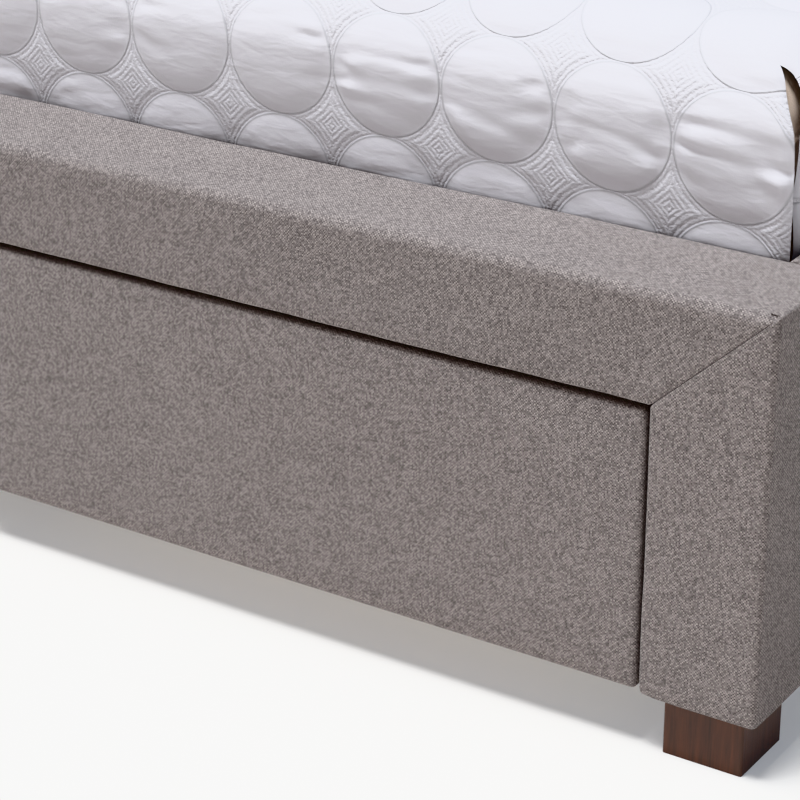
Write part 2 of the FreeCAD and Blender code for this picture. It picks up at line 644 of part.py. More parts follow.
def screw(label, x, y, level, direction):
    """Pan-head screw whose head rests on the bracket."""
    start = (x, y, level)
    back_off = direction * -1
    shank = rod(f"{label}_shank", start, direction, "dim.screw_length", "dim.screw_radius")
    head = rod(f"{label}_head", start, back_off, "dim.screw_head", "dim.screw_head_radius")
    whole = doc.addObject("Part::Fuse", label)
    whole.Base = shank
    whole.Tool = head
    return whole


brackets = []
screws = []
BRACKET_Z = ("dim.bracket_low", "dim.bracket_low + dim.bracket_height")
SCREW_LEVELS = (f"{BRACKET_Z[0]} + dim.screw_inset", f"{BRACKET_Z[1]} - dim.screw_inset")
for end, face, inward in (("front", FOOTBOARD_BACK, 1), ("rear", HEADBOARD_FRONT, -1)):
    for side, side_name in SIDE_NAMES.items():
        name = f"{end}_{side_name}_bracket"
        end_leg = f"{face} + {inward} * dim.bracket_sheet"
        run_end = f"{face} + {inward} * dim.bracket_run"
        bracket = extrusion(name, "XY_Plane", BRACKET_Z, [flipped(side, [
            (RAIL_INNER, face),
            (f"{RAIL_INNER} - dim.bracket_reach", face),
            (f"{RAIL_INNER} - dim.bracket_reach", end_leg),
            (f"{RAIL_INNER} - dim.bracket_sheet", end_leg),
            (f"{RAIL_INNER} - dim.bracket_sheet", run_end),
            (RAIL_INNER, run_end),
        ])])
        hole = "dim.screw_radius + dim.stud_clearance"
        end_screw_x = f"{side} * ({RAIL_INNER} - dim.screw_inset)"
        rail_screw_y = f"{face} + {inward} * dim.screw_run"
        rail_face = f"{side} * ({RAIL_INNER} - dim.bracket_sheet)"
        leg_limits = sorted((face, end_leg), key=value)
        drill(bracket, "XZ_Plane", leg_limits, [(end_screw_x, level) for level in SCREW_LEVELS], hole)
        drill(bracket, "YZ_Plane", across(side, f"{RAIL_INNER} - dim.bracket_sheet", RAIL_INNER),
              [(rail_screw_y, level) for level in SCREW_LEVELS], hole)
        brackets.append(bracket)
        for number, level in enumerate(SCREW_LEVELS, start=1):
            screws.append(screw(f"{name}_end_screw_{number}", end_screw_x, end_leg, level,
                                TO_FRONT * inward))
            screws.append(screw(f"{name}_rail_screw_{number}", rail_face, rail_screw_y, level,
                                TO_RIGHT * side))
group("corner_brackets", brackets)
group("corner_screws", screws)

# ---------------------------------------------------------------- headboard

HEAD_TOP = "dim.headboard_height"
FIELD_TOP = "dim.headboard_height - dim.border_width"
HEAD_FRAME_FRONT = f"{HEADBOARD_FRONT} + dim.headboard_padding"
HEAD_FRAME_BACK = f"{BACK} - dim.lining"
HEAD_FRAME_TOP = f"{HEAD_TOP} - dim.padding"
LOWER_RAIL_Z = ("dim.headboard_field_low - dim.headboard_lower_rail", "dim.headboard_field_low")
HEADBOARD_DEPTH = (HEADBOARD_FRONT, BACK)
INSIDE_X = (f"-({OPENING})", OPENING)

stiles = [
    board(f"headboard_{side_name}_stile", across(side, OPENING, FRAME_OUTER), (HEAD_FRAME_FRONT, HEAD_FRAME_BACK),
          (FLOOR_GAP, HEAD_FRAME_TOP))
    for side, side_name in SIDE_NAMES.items()
]
drilled_stiles = []
for side, stile in zip(SIDE_NAMES, stiles):
    stud_hole = rod(f"{stile.Name}_stud_hole", (f"{side} * ({FOOT_X})", REAR_FOOT_Y, FLOOR_GAP), UP,
                    f"dim.stud_top + dim.stud_hole_spare - {FLOOR_GAP}", STUD_HOLE)
    drilled = doc.addObject("Part::Cut", f"{stile.Name}_drilled")
    drilled.Base = stile
    drilled.Tool = stud_hole
    drilled_stiles.append(drilled)
top_rail = board("headboard_top_rail", INSIDE_X, (HEAD_FRAME_FRONT, HEAD_FRAME_BACK), (FIELD_TOP, HEAD_FRAME_TOP))
lower_rail = board("headboard_lower_rail", INSIDE_X, (HEADBOARD_FRONT, HEAD_FRAME_BACK), LOWER_RAIL_Z)
group("headboard_frame", drilled_stiles + [top_rail, lower_rail])

board("headboard_panel", INSIDE_X, (HEAD_FRAME_FRONT, f"{HEAD_FRAME_FRONT} + dim.headboard_panel"),
      (LOWER_RAIL_Z[1], FIELD_TOP))
board("headboard_back_cloth", (f"-({FRAME_OUTER})", FRAME_OUTER), (HEAD_FRAME_BACK, BACK),
      (f"{FLOOR_GAP} + dim.padding", HEAD_FRAME_TOP))

PAD_FRONT = f"{HEADBOARD_FRONT} + dim.headboard_field_setback"
center_pad = extrusion("headboard_center_pad", "XZ_Plane", (PAD_FRONT, HEAD_FRAME_FRONT), [rectangle(
    (f"{INSIDE_X[0]} + dim.headboard_field_gap", f"{INSIDE_X[1]} - dim.headboard_field_gap"),
    (f"{LOWER_RAIL_Z[1]} + dim.lining", f"{FIELD_TOP} - dim.headboard_field_gap"))])
round_edges(center_pad, "dim.drawer_front_edge", {"y": PAD_FRONT})


def headboard_border(label, outline, frame_x):
    """Padded border that wraps the frame's front and its outer edge."""
    body = extrusion(label, "XZ_Plane", HEADBOARD_DEPTH, [outline])
    carve(body, "XZ_Plane", (HEAD_FRAME_FRONT, BACK), rectangle(frame_x, (FLOOR_GAP, HEAD_FRAME_TOP)))
    return body


for side, side_name in SIDE_NAMES.items():
    side_outline = flipped(side, [(OPENING, FLOOR_GAP), (SIDE, FLOOR_GAP), (SIDE, HEAD_TOP), (OPENING, FIELD_TOP)])
    border = headboard_border(f"headboard_{side_name}_border", side_outline, across(side, OPENING, FRAME_OUTER))
    round_edges(border, "dim.cover_radius", {"x": f"{side} * ({SIDE})", "y": HEADBOARD_FRONT})
border_outline = [(INSIDE_X[0], FIELD_TOP), (INSIDE_X[1], FIELD_TOP), (SIDE, HEAD_TOP), (f"-({SIDE})", HEAD_TOP)]
top_border = headboard_border("headboard_top_border", border_outline, (f"-({FRAME_OUTER})", FRAME_OUTER))
round_edges(top_border, "dim.cover_radius", {"y": HEADBOARD_FRONT, "z": HEAD_TOP})

# ---------------------------------------------------------------- mattress and coverlet

MATTRESS_X = ("-dim.mattress_width / 2", "dim.mattress_width / 2")
MATTRESS_Y = (FIRST_SLAT, f"{FIRST_SLAT} + dim.mattress_length")
MATTRESS_Z = ("dim.slat_top", "dim.slat_top + dim.mattress_thickness")


def rounded_block(label, x, y, z):
    """A block whose four upright edges are rounded."""
    body = extrusion(label, "XY_Plane", z, [rectangle(x, y)])
    round_edges(body, "dim.mattress_edge", *[{"x": corner[0], "y": corner[1]} for corner in rectangle(x, y)])
    return body


def shrunk(limits, expression):
    """Limits moved inwards by the same amount."""
    return f"{limits[0]} + {expression}", f"{limits[1]} - {expression}"


mattress_block = rounded_block("mattress_block", MATTRESS_X, MATTRESS_Y, MATTRESS_Z)
mattress_hollow = board("mattress_hollow", shrunk(MATTRESS_X, "dim.mattress_wall"),
                        shrunk(MATTRESS_Y, "dim.mattress_wall"), shrunk(MATTRESS_Z, "dim.mattress_wall"))
mattress = doc.addObject("Part::Cut", "mattress")
mattress.Base = mattress_block
mattress.Tool = mattress_hollow

# The coverlet is a thin shell over the top, the foot end and the two sides, open at the head.
LINING_X = (f"{MATTRESS_X[0]} - dim.coverlet_ease", f"{MATTRESS_X[1]} + dim.coverlet_ease")
LINING_Y = (f"{MATTRESS_Y[0]} - dim.coverlet_ease", MATTRESS_Y[1])
LINING_TOP = f"{MATTRESS_Z[1]} + dim.coverlet_ease"
COVERLET_X = (f"{LINING_X[0]} - dim.coverlet_side", f"{LINING_X[1]} + dim.coverlet_side")
COVERLET_Y = (f"{LINING_Y[0]} - dim.coverlet_side", MATTRESS_Y[1])

coverlet = extrusion("coverlet", "XY_Plane", ("dim.coverlet_hem", f"{LINING_TOP} + dim.coverlet_top"),
                     [rectangle(COVERLET_X, COVERLET_Y)])
carve(coverlet, "XY_Plane", ("dim.coverlet_hem", LINING_TOP), rectangle(LINING_X, LINING_Y))
round_edges(coverlet, "dim.mattress_edge / 5", *[{"x": end, "y": COVERLET_Y[0]} for end in COVERLET_X])

# ---------------------------------------------------------------- check and write

doc.recompute()
for item in doc.Objects:
    if "Invalid" in item.State or "Error" in item.State:
        raise RuntimeError(f"{item.Name} failed: {item.State}")

# A sub-part is any shape that no other object is built from.
sub_parts = [item for item in doc.Objects if item.isDerivedFrom("Part::Feature") and not item.InList]
for item in sub_parts:
    if item.Shape.isNull() or not item.Shape.isValid():
        raise RuntimeError(f"{item.Label} has no valid shape")
for item in sub_parts:
    item.Shape.exportStep(f"parts/{item.Label}.step")
print(len(sub_parts), "sub-parts written")
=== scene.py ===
import math
import bmesh
import bpy
import numpy as np
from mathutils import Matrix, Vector


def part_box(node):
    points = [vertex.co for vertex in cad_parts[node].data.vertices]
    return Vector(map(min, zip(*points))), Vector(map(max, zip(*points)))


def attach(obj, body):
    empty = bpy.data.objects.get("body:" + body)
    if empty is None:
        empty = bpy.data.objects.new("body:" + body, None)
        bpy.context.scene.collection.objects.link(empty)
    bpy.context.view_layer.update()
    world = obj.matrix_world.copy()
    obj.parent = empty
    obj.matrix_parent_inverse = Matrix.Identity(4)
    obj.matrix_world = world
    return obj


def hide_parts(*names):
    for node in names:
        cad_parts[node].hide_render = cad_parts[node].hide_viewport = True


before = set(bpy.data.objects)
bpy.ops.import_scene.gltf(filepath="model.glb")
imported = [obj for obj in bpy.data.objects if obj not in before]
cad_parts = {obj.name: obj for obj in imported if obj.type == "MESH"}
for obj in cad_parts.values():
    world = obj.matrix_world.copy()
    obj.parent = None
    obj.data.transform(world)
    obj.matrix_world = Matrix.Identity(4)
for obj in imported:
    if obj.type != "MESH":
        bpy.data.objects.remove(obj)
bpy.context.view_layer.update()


# ---------------------------------------------------------------- upholstery fabric
# Linen-look polyester: a plain weave of slubby yarns spun from two greys, so each yarn changes
# shade along its length. It gives the eye a heathered taupe grey with a dry, matt surface.

MM = 0.001


def linear(hex_colour):
    """An sRGB hex colour as the linear RGBA that a shader takes."""
    parts = [int(hex_colour[start:start + 2], 16) / 255 for start in (0, 2, 4)]
    return [c / 12.92 if c <= 0.04045 else ((c + 0.055) / 1.055) ** 2.4 for c in parts] + [1.0]


def connect(tree, node, inputs):
    """Links or fills a node's inputs. A node stands for its first output, and a hex string for a colour."""
    for name, source in inputs.items():
        if isinstance(source, bpy.types.Node):
            source = source.outputs[0]
        if isinstance(source, bpy.types.NodeSocket):
            tree.links.new(source, node.inputs[name])
        else:
            node.inputs[name].default_value = linear(source) if isinstance(source, str) else source


def add(tree, kind, inputs=(), **settings):
    """Adds a shader node with its settings and inputs."""
    node = tree.nodes.new(kind)
    for name, setting in settings.items():
        setattr(node, name, setting)
    connect(tree, node, dict(inputs))
    return node


def new_material(name):
    """An empty material, its node tree and its surface shader."""
    material = bpy.data.materials.new(name)
    material.use_nodes = True
    tree = material.node_tree
    return material, tree, tree.nodes["Principled BSDF"]


def finish_surface(tree, shader, tone, dark, pale, relief, relief_mm, gloss):
    """Colours the surface from dark to pale by tone, and gives it a relief and its gloss."""
    colour = add(tree, "ShaderNodeMix", {0: tone, 6: dark, 7: pale}, data_type="RGBA")
    bump = add(tree, "ShaderNodeBump", {"Height": relief, "Distance": relief_mm * MM})
    connect(tree, shader, {"Base Color": colour.outputs[2], "Normal": bump, **gloss})


YARN_MM = 1.35          # two or three real yarns side by side: one alone is too fine to show
SLUB_MM = 14.0          # length of a thick, pale or dark stretch of yarn
MOTTLE_MM = 1000 / 30   # size of the faint patches of paler and darker cloth


def linen_look_polyester(name, warp, weft, relief_mm):
    """The bed's upholstery fabric, laid along the cloth map: two shades for each set of yarns."""
    material, tree, shader = new_material(name)
    cloth = add(tree, "ShaderNodeUVMap", uv_map="cloth")
    run = add(tree, "ShaderNodeSeparateXYZ", {0: cloth}).outputs
    numbers, slubs, waves, crowns = [], [], [], []
    for across, along in ((run[0], run[1]), (run[1], run[0])):
        count = add(tree, "ShaderNodeMath", {0: across, 1: 1 / (YARN_MM * MM)}, operation="MULTIPLY")
        numbers.append(add(tree, "ShaderNodeMath", {0: count}, operation="FLOOR"))
        # Neighbouring yarns take their slubs from places far apart in the noise, so they don't agree.
        apart = add(tree, "ShaderNodeMath", {0: numbers[-1], 1: 5.31}, operation="MULTIPLY")
        place = add(tree, "ShaderNodeMath", {0: along, 1: 1 / (SLUB_MM * MM)}, operation="MULTIPLY")
        place = add(tree, "ShaderNodeCombineXYZ", {0: apart, 1: place, 2: 7.0 * len(slubs)})
        slubs.append(add(tree, "ShaderNodeTexNoise", {"Vector": place, "Scale": 1.0, "Detail": 3.0,
                                                      "Roughness": 0.7}))
        turn = add(tree, "ShaderNodeMath", {0: count, 1: math.pi}, operation="MULTIPLY")
        waves.append(add(tree, "ShaderNodeMath", {0: turn}, operation="SINE"))
        crowns.append(add(tree, "ShaderNodeMath", {0: waves[-1]}, operation="ABSOLUTE"))
    over = add(tree, "ShaderNodeMath", {0: waves[0], 1: waves[1]}, operation="MULTIPLY")
    over = add(tree, "ShaderNodeMath", {0: over, 1: 0.0}, operation="GREATER_THAN")
    slub = add(tree, "ShaderNodeMix", {0: over, 2: slubs[1], 3: slubs[0]})
    crown = add(tree, "ShaderNodeMix", {0: over, 2: crowns[1], 3: crowns[0]})
    crossing = add(tree, "ShaderNodeCombineXYZ", {0: numbers[0], 1: numbers[1]})
    speckle = add(tree, "ShaderNodeTexWhiteNoise", {"Vector": crossing}, noise_dimensions="2D")
    mottle = add(tree, "ShaderNodeTexNoise", {"Vector": cloth, "Scale": 1 / (MOTTLE_MM * MM), "Detail": 3.0})
    shade = speckle
    for part, share in ((slub, 0.5), (mottle, 0.15)):
        shade = add(tree, "ShaderNodeMath", {0: part, 1: share, 2: shade}, operation="MULTIPLY_ADD")
    tone = add(tree, "ShaderNodeMapRange", {"Value": shade, "From Min": 0.2, "From Max": 1.45})
    weft_colour, warp_colour = [
        add(tree, "ShaderNodeMix", {0: tone, 6: dark, 7: pale}, data_type="RGBA").outputs[2]
        for dark, pale in (weft, warp)
    ]
    relief = add(tree, "ShaderNodeMath", {0: slub, 1: 0.8, 2: crown}, operation="MULTIPLY_ADD")
    finish_surface(tree, shader, over, weft_colour, warp_colour, relief, relief_mm, {
        "Roughness": 0.88,
        "Specular IOR Level": 0.2,
        "Sheen Weight": 0.15,
        "Sheen Roughness": 0.4,
    })
    return material


upholstery = linen_look_polyester("linen_look_polyester", warp=("4D4747", "8E8685"),
                                  weft=("665F5E", "B2A8A4"), relief_mm=0.35)


# ---------------------------------------------------------------- footboard covers
# Foam-padded plywood wrapped in the fabric: a top cover and two posts, joined by mitred seams that
# run from the drawer opening to the outer corners. Each is a rounded tube swept between its seams.

SIDES = {"left": -1, "right": 1}     # which way each side lies along X
TOP_FRONT_RADIUS = 10 * MM
POST_OUTER_RADIUS = 6 * MM
POST_LOWER_CORNER = 8 * MM   # the cover's lower corner beside the drawer is eased this much
OPENING_RADIUS = 3.5 * MM
HIDDEN_RADIUS = 4 * MM
SEAM_ROLL = 1.6 * MM     # each cover turns down this far where it meets the next
SEAM_TUCK = 9 * MM
HEM_ROLL = 2.5 * MM      # lower edge, folded round the frame
HEM_TUCK = 16 * MM       # stapled under it
COVER_STEP = 12 * MM
ARC_STEP = 1.5 * MM
LONG_WAVE = 160 * MM     # the padding's unevenness has long waves and short ones
LONG_WAVE_DEPTH = 0.5 * MM
SHORT_WAVE = 50 * MM
SHORT_WAVE_DEPTH = 0.25 * MM
COVER_SINK = 0.4 * MM    # keeps the waves' crests about level with the solid


def rounded_outline(corners, step):
    """A closed counter-clockwise outline with rounded corners (a, b, radius).

    Returns its points, their outward normals and the run length at each, with the whole length last.
    """
    places = np.array([corner[:2] for corner in corners], float)
    ahead = np.roll(places, -1, axis=0) - places
    ahead /= np.linalg.norm(ahead, axis=1)[:, None]
    arcs = []
    for number, (place, radius) in enumerate(zip(places, [corner[2] for corner in corners])):
        coming, going = ahead[number - 1], ahead[number]
        turn = math.atan2(coming[0] * going[1] - coming[1] * going[0], coming @ going)
        outward = np.array([coming[1], -coming[0]])
        begin = place - coming * radius * math.tan(abs(turn) / 2)
        centre = begin - outward * radius * np.sign(turn)
        count = max(5, math.ceil(abs(turn) * radius / ARC_STEP))
        angles = turn * np.arange(count + 1) / count
        normals = np.stack([outward[0] * np.cos(angles) - outward[1] * np.sin(angles),
                            outward[0] * np.sin(angles) + outward[1] * np.cos(angles)], axis=1)
        arcs.append((centre + normals * radius * np.sign(turn), normals))
    points, directions = [], []
    for (arc, normals), (next_arc, _) in zip(arcs, arcs[1:] + arcs[:1]):
        points.extend(arc)
        directions.extend(normals)
        count = max(1, round(np.linalg.norm(next_arc[0] - arc[-1]) / step))
        for part in np.arange(1, count) / count:
            points.append(arc[-1] + (next_arc[0] - arc[-1]) * part)
            directions.append(normals[-1])
    points, directions = np.array(points), np.array(directions)
    gaps = np.linalg.norm(np.roll(points, -1, axis=0) - points, axis=1)
    return points, directions, np.concatenate([[0.0], np.cumsum(gaps)])


def rolled_end(roll, tuck):
    """Rings of a cover's end, from its tucked-in rim out to its face: (inset, distance from the end)."""
    angles = np.linspace(0, math.pi / 2, 6)
    rings = [(roll - roll * math.sin(angle), roll - roll * math.cos(angle)) for angle in angles]
    return [(roll + tuck, 0.0)] + rings


def ripple(points, size, seed):
    """Gentle unevenness of padded cloth, about -1 to 1, in waves about size metres long."""
    dice = np.random.default_rng(seed)
    total = np.zeros(points.shape[:-1])
    for _ in range(9):
        direction = dice.normal(size=3)
        direction *= 2 * math.pi / (size * dice.uniform(0.8, 2.5) * np.linalg.norm(direction))
        total += np.sin(points @ direction + dice.uniform(0, 2 * math.pi))
    return total / 4


def cloth_object(name, points, cloth, closed, material):
    """A smooth mesh from a grid of points, with their places on the cloth as its map.

    A closed grid's last column is joined to its first.
    """
    rows, columns = points.shape[:2]
    spans = columns if closed else columns - 1
    row, column = np.meshgrid(np.arange(rows - 1), np.arange(spans), indexing="ij")
    row, column = row.ravel(), column.ravel()
    corners = [(row, column), (row, column + 1), (row + 1, column + 1), (row + 1, column)]
    faces = np.stack([r * columns + c % columns for r, c in corners], axis=1)
    mesh = bpy.data.meshes.new(name)
    mesh.from_pydata(points.reshape(-1, 3).tolist(), [], faces.tolist())
    layer = mesh.uv_layers.new(name="cloth")
    layer.data.foreach_set("uv", np.stack([cloth[r, c] for r, c in corners], axis=1).ravel())
    mesh.shade_smooth()
    mesh.materials.append(material)
    piece = bpy.data.objects.new(name, mesh)
    bpy.context.scene.collection.objects.link(piece)
    return piece


def swept_cover(name, outline, low, high, low_end, high_end, place, seed):
    """A padded tube: an outline carried along an axis, from low to high at each of its points."""
    points, normals, run = outline
    first = [(inset, low + gap, -inset) for inset, gap in low_end]
    last = [(inset, high - gap, inset) for inset, gap in reversed(high_end)]
    begin, end = first[-1][1], last[0][1]
    count = max(2, round(float(np.max(end - begin)) / COVER_STEP))
    middle = [(0.0, begin + (end - begin) * part / count, 0.0) for part in range(1, count)]
    grid, cloth = [], []
    for inset, along, folded in first + middle + last:
        ring = points - normals * inset
        grid.append(place(ring[:, 0], ring[:, 1], along))
        reach = np.append(along, along[0]) + folded
        cloth.append(np.stack([run, reach], axis=1))
    grid = np.array(grid)
    puff = LONG_WAVE_DEPTH * ripple(grid, LONG_WAVE, seed)
    puff = puff + SHORT_WAVE_DEPTH * ripple(grid, SHORT_WAVE, seed + 1)
    outward = place(normals[:, 0], normals[:, 1], np.zeros(len(normals)))
    grid = grid + (puff - COVER_SINK)[..., None] * outward
    return cloth_object(name, grid, np.array(cloth), True, upholstery)


def along_x(a, b, s):
    """Outline in the YZ plane, carried along X."""
    return np.stack([s, a, b], axis=-1)


def along_y(a, b, s):
    """Outline in the XZ plane, carried along Y."""
    return np.stack([a, s, b], axis=-1)


def along_z(a, b, s):
    """Outline in the XY plane, carried along Z."""
    return np.stack([a, b, s], axis=-1)


def settle(piece, body, nodes):
    """A padded piece rides on its body and stands for its CAD solids."""
    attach(piece, body)
    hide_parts(*nodes)


(post_inner, post_front, post_low), (post_outer, post_back, post_top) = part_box("right_post_cover")
opening_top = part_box("footboard_top_cover")[0].z
mitre_slope = (post_top - opening_top) / (post_outer - post_inner)

top_outline = rounded_outline([
    (post_front, opening_top, OPENING_RADIUS),
    (post_back, opening_top, HIDDEN_RADIUS),
    (post_back, post_top, HIDDEN_RADIUS),
    (post_front, post_top, TOP_FRONT_RADIUS),
], COVER_STEP)
reach = post_inner + (top_outline[0][:, 1] - opening_top) / mitre_slope
seam_end = rolled_end(SEAM_ROLL, SEAM_TUCK)
top_piece = swept_cover("footboard_top_upholstery", top_outline, -reach, reach,
                        seam_end, seam_end, along_x, 3)
settle(top_piece, "bed_frame", ["footboard_top_cover"])

for side, sign in SIDES.items():
    corners = [
        (post_inner, post_back, HIDDEN_RADIUS),
        (post_inner, post_front, OPENING_RADIUS),
        (post_outer, post_front, POST_OUTER_RADIUS),
        (post_outer, post_back, HIDDEN_RADIUS),
    ]
    corners = [(sign * x, y, radius) for x, y, radius in corners]
    outline = rounded_outline(corners if sign > 0 else corners[::-1], COVER_STEP)
    top = opening_top + (np.abs(outline[0][:, 0]) - post_inner) * mitre_slope
    eased = np.clip(POST_LOWER_CORNER - (np.abs(outline[0][:, 0]) - post_inner), 0, None)
    bottom = post_low + POST_LOWER_CORNER - np.sqrt(POST_LOWER_CORNER ** 2 - eased ** 2)
    post = swept_cover(f"{side}_post_upholstery", outline, bottom, top,
                       rolled_end(HEM_ROLL, HEM_TUCK), seam_end, along_z, 11 + sign)
    settle(post, "bed_frame", [f"{side}_post_cover"])


# ---------------------------------------------------------------- side rail covers
# One long padded sleeve on each side board, from the back of the footboard to the headboard.

RAIL_TOP_RADIUS = 12 * MM
RAIL_INNER_RADIUS = 6 * MM
rail_end = rolled_end(HIDDEN_RADIUS / 2, SEAM_TUCK)

for side, sign in SIDES.items():
    low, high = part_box(f"{side}_rail_cover")
    inner, outer = sorted((abs(low.x), abs(high.x)))
    corners = [
        (inner, low.z, HIDDEN_RADIUS),
        (outer, low.z, HEM_ROLL),
        (outer, high.z, RAIL_TOP_RADIUS),
        (inner, high.z, RAIL_INNER_RADIUS),
    ]
    corners = [(sign * x, z, radius) for x, z, radius in corners]
    outline = rounded_outline(corners if sign > 0 else corners[::-1], COVER_STEP)
    flat = np.ones(len(outline[0]))
    rail = swept_cover(f"{side}_rail_upholstery", outline, low.y * flat, high.y * flat,
                       rail_end, rail_end, along_y, 21 + sign)
    settle(rail, "bed_frame", [f"{side}_rail_cover"])


# ---------------------------------------------------------------- feet
# Square block feet of solid beech under a walnut stain, with the grain upright and a satin lacquer.

def laid_along(tree, *lengths_mm):
    """The piece's own coordinates, in units of so many millimetres along each axis."""
    place = add(tree, "ShaderNodeTexCoord").outputs["Object"]
    scale = [1 / (length * MM) for length in lengths_mm]
    return add(tree, "ShaderNodeVectorMath", {0: place, 1: scale}, operation="MULTIPLY")


def planed_wood(name, pale, dark, fibre_mm, band_mm, roughness, banding=0.5):
    """Solid wood: fine fibres and wider growth bands, both drawn out along the grain."""
    material, tree, shader = new_material(name)
    fibre = add(tree, "ShaderNodeTexNoise", {"Vector": laid_along(tree, *fibre_mm), "Scale": 1.0,
                                             "Detail": 6.0, "Roughness": 0.65})
    band = add(tree, "ShaderNodeTexNoise", {"Vector": laid_along(tree, *band_mm), "Scale": 1.0,
                                            "Detail": 3.0, "Distortion": 0.8})
    mixed = add(tree, "ShaderNodeMix", {0: banding, 2: fibre, 3: band})
    tone = add(tree, "ShaderNodeMapRange", {"Value": mixed, "From Min": 0.34, "From Max": 0.66})
    finish_surface(tree, shader, tone, dark, pale, mixed, 0.25, {"Roughness": roughness})
    return material


def refinish(node, material):
    """Gives a CAD node a finished material in place of its plain one."""
    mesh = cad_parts[node].data
    mesh.materials.clear()
    mesh.materials.append(material)


stained_beech = planed_wood("walnut_stained_beech", "532C18", "311A0C", (1.6, 1.6, 28), (9, 9, 160), 0.45)
connect(stained_beech.node_tree, stained_beech.node_tree.nodes["Principled BSDF"],
        {"Coat Weight": 0.08, "Coat Roughness": 0.3})
for end in ("front", "rear"):
    for side in SIDES:
        refinish(f"{end}_{side}_foot", stained_beech)


# ---------------------------------------------------------------- boards of the frame
# Poplar plywood for every hidden panel and core. Its faces show a soft grain and its edges the plies.

PLY_MM = 1.5
END_GRAIN = "8A6A42"


def plywood(name, through, face_mm, pale="D9BE93", dark="B7935F"):
    """Plywood whose plies are stacked along one axis (0, 1 or 2), with stripes only on its edges."""
    material, tree, shader = new_material(name)
    grain = add(tree, "ShaderNodeTexNoise", {"Vector": laid_along(tree, *face_mm), "Scale": 1.0,
                                             "Detail": 6.0, "Distortion": 0.6})
    depth = add(tree, "ShaderNodeSeparateXYZ", {0: laid_along(tree, 2 * PLY_MM, 2 * PLY_MM, 2 * PLY_MM)})
    stripe = add(tree, "ShaderNodeMath", {0: depth.outputs[through]}, operation="FRACT")
    stripe = add(tree, "ShaderNodeMath", {0: stripe, 1: 0.5}, operation="GREATER_THAN")
    facing = add(tree, "ShaderNodeSeparateXYZ", {0: add(tree, "ShaderNodeTexCoord").outputs["Normal"]})
    flat = add(tree, "ShaderNodeMath", {0: facing.outputs[through]}, operation="ABSOLUTE")
    edge = add(tree, "ShaderNodeMath", {0: flat, 1: 0.5}, operation="LESS_THAN")
    plies = add(tree, "ShaderNodeMath", {0: stripe, 1: edge}, operation="MULTIPLY")
    tone = add(tree, "ShaderNodeMapRange", {"Value": grain, "From Min": 0.35, "From Max": 0.65})
    face = add(tree, "ShaderNodeMix", {0: tone, 6: dark, 7: pale}, data_type="RGBA").outputs[2]
    finish_surface(tree, shader, plies, face, END_GRAIN, grain, 0.15, {"Roughness": 0.62})
    return material


ply_across_x = plywood("poplar_plywood_upright_side", 0, (12, 110, 5))
ply_across_y = plywood("poplar_plywood_upright_end", 1, (110, 12, 5))
for node in ("left_rail_board", "right_rail_board", "left_runner_board", "right_runner_board",
             "center_divider", "left_post_core", "right_post_core"):
    refinish(node, ply_across_x)
for node in ("rear_stretcher", "headboard_panel", "headboard_frame", "footboard_rail_core",
             "runner_spacers"):
    refinish(node, ply_across_y)


# ---------------------------------------------------------------- slats and ledgers
# Planed pine slats on pine ledgers, held at their spacing by two stapled polypropylene tapes.

pine_slats = planed_wood("planed_pine", "E3C696", "C49A62", (45, 2.2, 2.2), (260, 11, 11), 0.55)
pine_ledgers = planed_wood("planed_pine_lengthwise", "DDBE8C", "BE935C", (2.2, 45, 2.2), (11, 260, 11), 0.55)
refinish("slats", pine_slats)
refinish("slat_ledgers", pine_ledgers)


def woven_tape(name, pale, dark, rib_mm):
    """Flat woven tape: ribs across its width, with a lighter edge to each."""
    material, tree, shader = new_material(name)
    ribs = add(tree, "ShaderNodeTexWave", {"Vector": laid_along(tree, rib_mm, rib_mm, rib_mm),
                                           "Scale": 0.5, "Distortion": 0.4}, bands_direction="Y")
    fuzz = add(tree, "ShaderNodeTexNoise", {"Vector": laid_along(tree, 1.2, 1.2, 1.2), "Scale": 1.0,
                                            "Detail": 3.0})
    mixed = add(tree, "ShaderNodeMix", {0: 0.35, 2: ribs.outputs["Fac"], 3: fuzz})
    finish_surface(tree, shader, mixed, dark, pale, mixed, 0.4, {"Roughness": 0.7})
    return material


refinish("slat_straps", woven_tape("polypropylene_tape", "DDDAD0", "B5B1A4", 2.0))


# ---------------------------------------------------------------- steelwork
# Powder-coated tube and plate for the beam, legs, hangers and brackets: satin black with the
# fine orange peel of the coating. Zinc-plated sheet and screws: cool grey with drawn-out streaks.

def powder_coat(name, colour, dusty):
    """Baked powder coating on steel."""
    material, tree, shader = new_material(name)
    peel = add(tree, "ShaderNodeTexNoise", {"Vector": laid_along(tree, 1.4, 1.4, 1.4), "Scale": 1.0,
                                            "Detail": 2.0})
    dust = add(tree, "ShaderNodeTexNoise", {"Vector": laid_along(tree, 60, 60, 60), "Scale": 1.0,
                                            "Detail": 5.0})
    finish_surface(tree, shader, dust, colour, dusty, peel, 0.05, {"Roughness": 0.42})
    return material


def zinc_plate(name):
    """Bright zinc on drawn steel, with streaks along the length."""
    material, tree, shader = new_material(name)
    streak = add(tree, "ShaderNodeTexNoise", {"Vector": laid_along(tree, 1.0, 60, 1.0), "Scale": 1.0,
                                              "Detail": 5.0})
    cloud = add(tree, "ShaderNodeTexNoise", {"Vector": laid_along(tree, 18, 18, 18), "Scale": 1.0,
                                             "Detail": 3.0})
    mixed = add(tree, "ShaderNodeMix", {0: 0.5, 2: streak, 3: cloud})
    rough = add(tree, "ShaderNodeMapRange", {"Value": cloud, "To Min": 0.22, "To Max": 0.45})
    finish_surface(tree, shader, mixed, "9DA2A8", "D5D8DA", streak, 0.02,
                   {"Roughness": rough, "Metallic": 1.0})
    return material


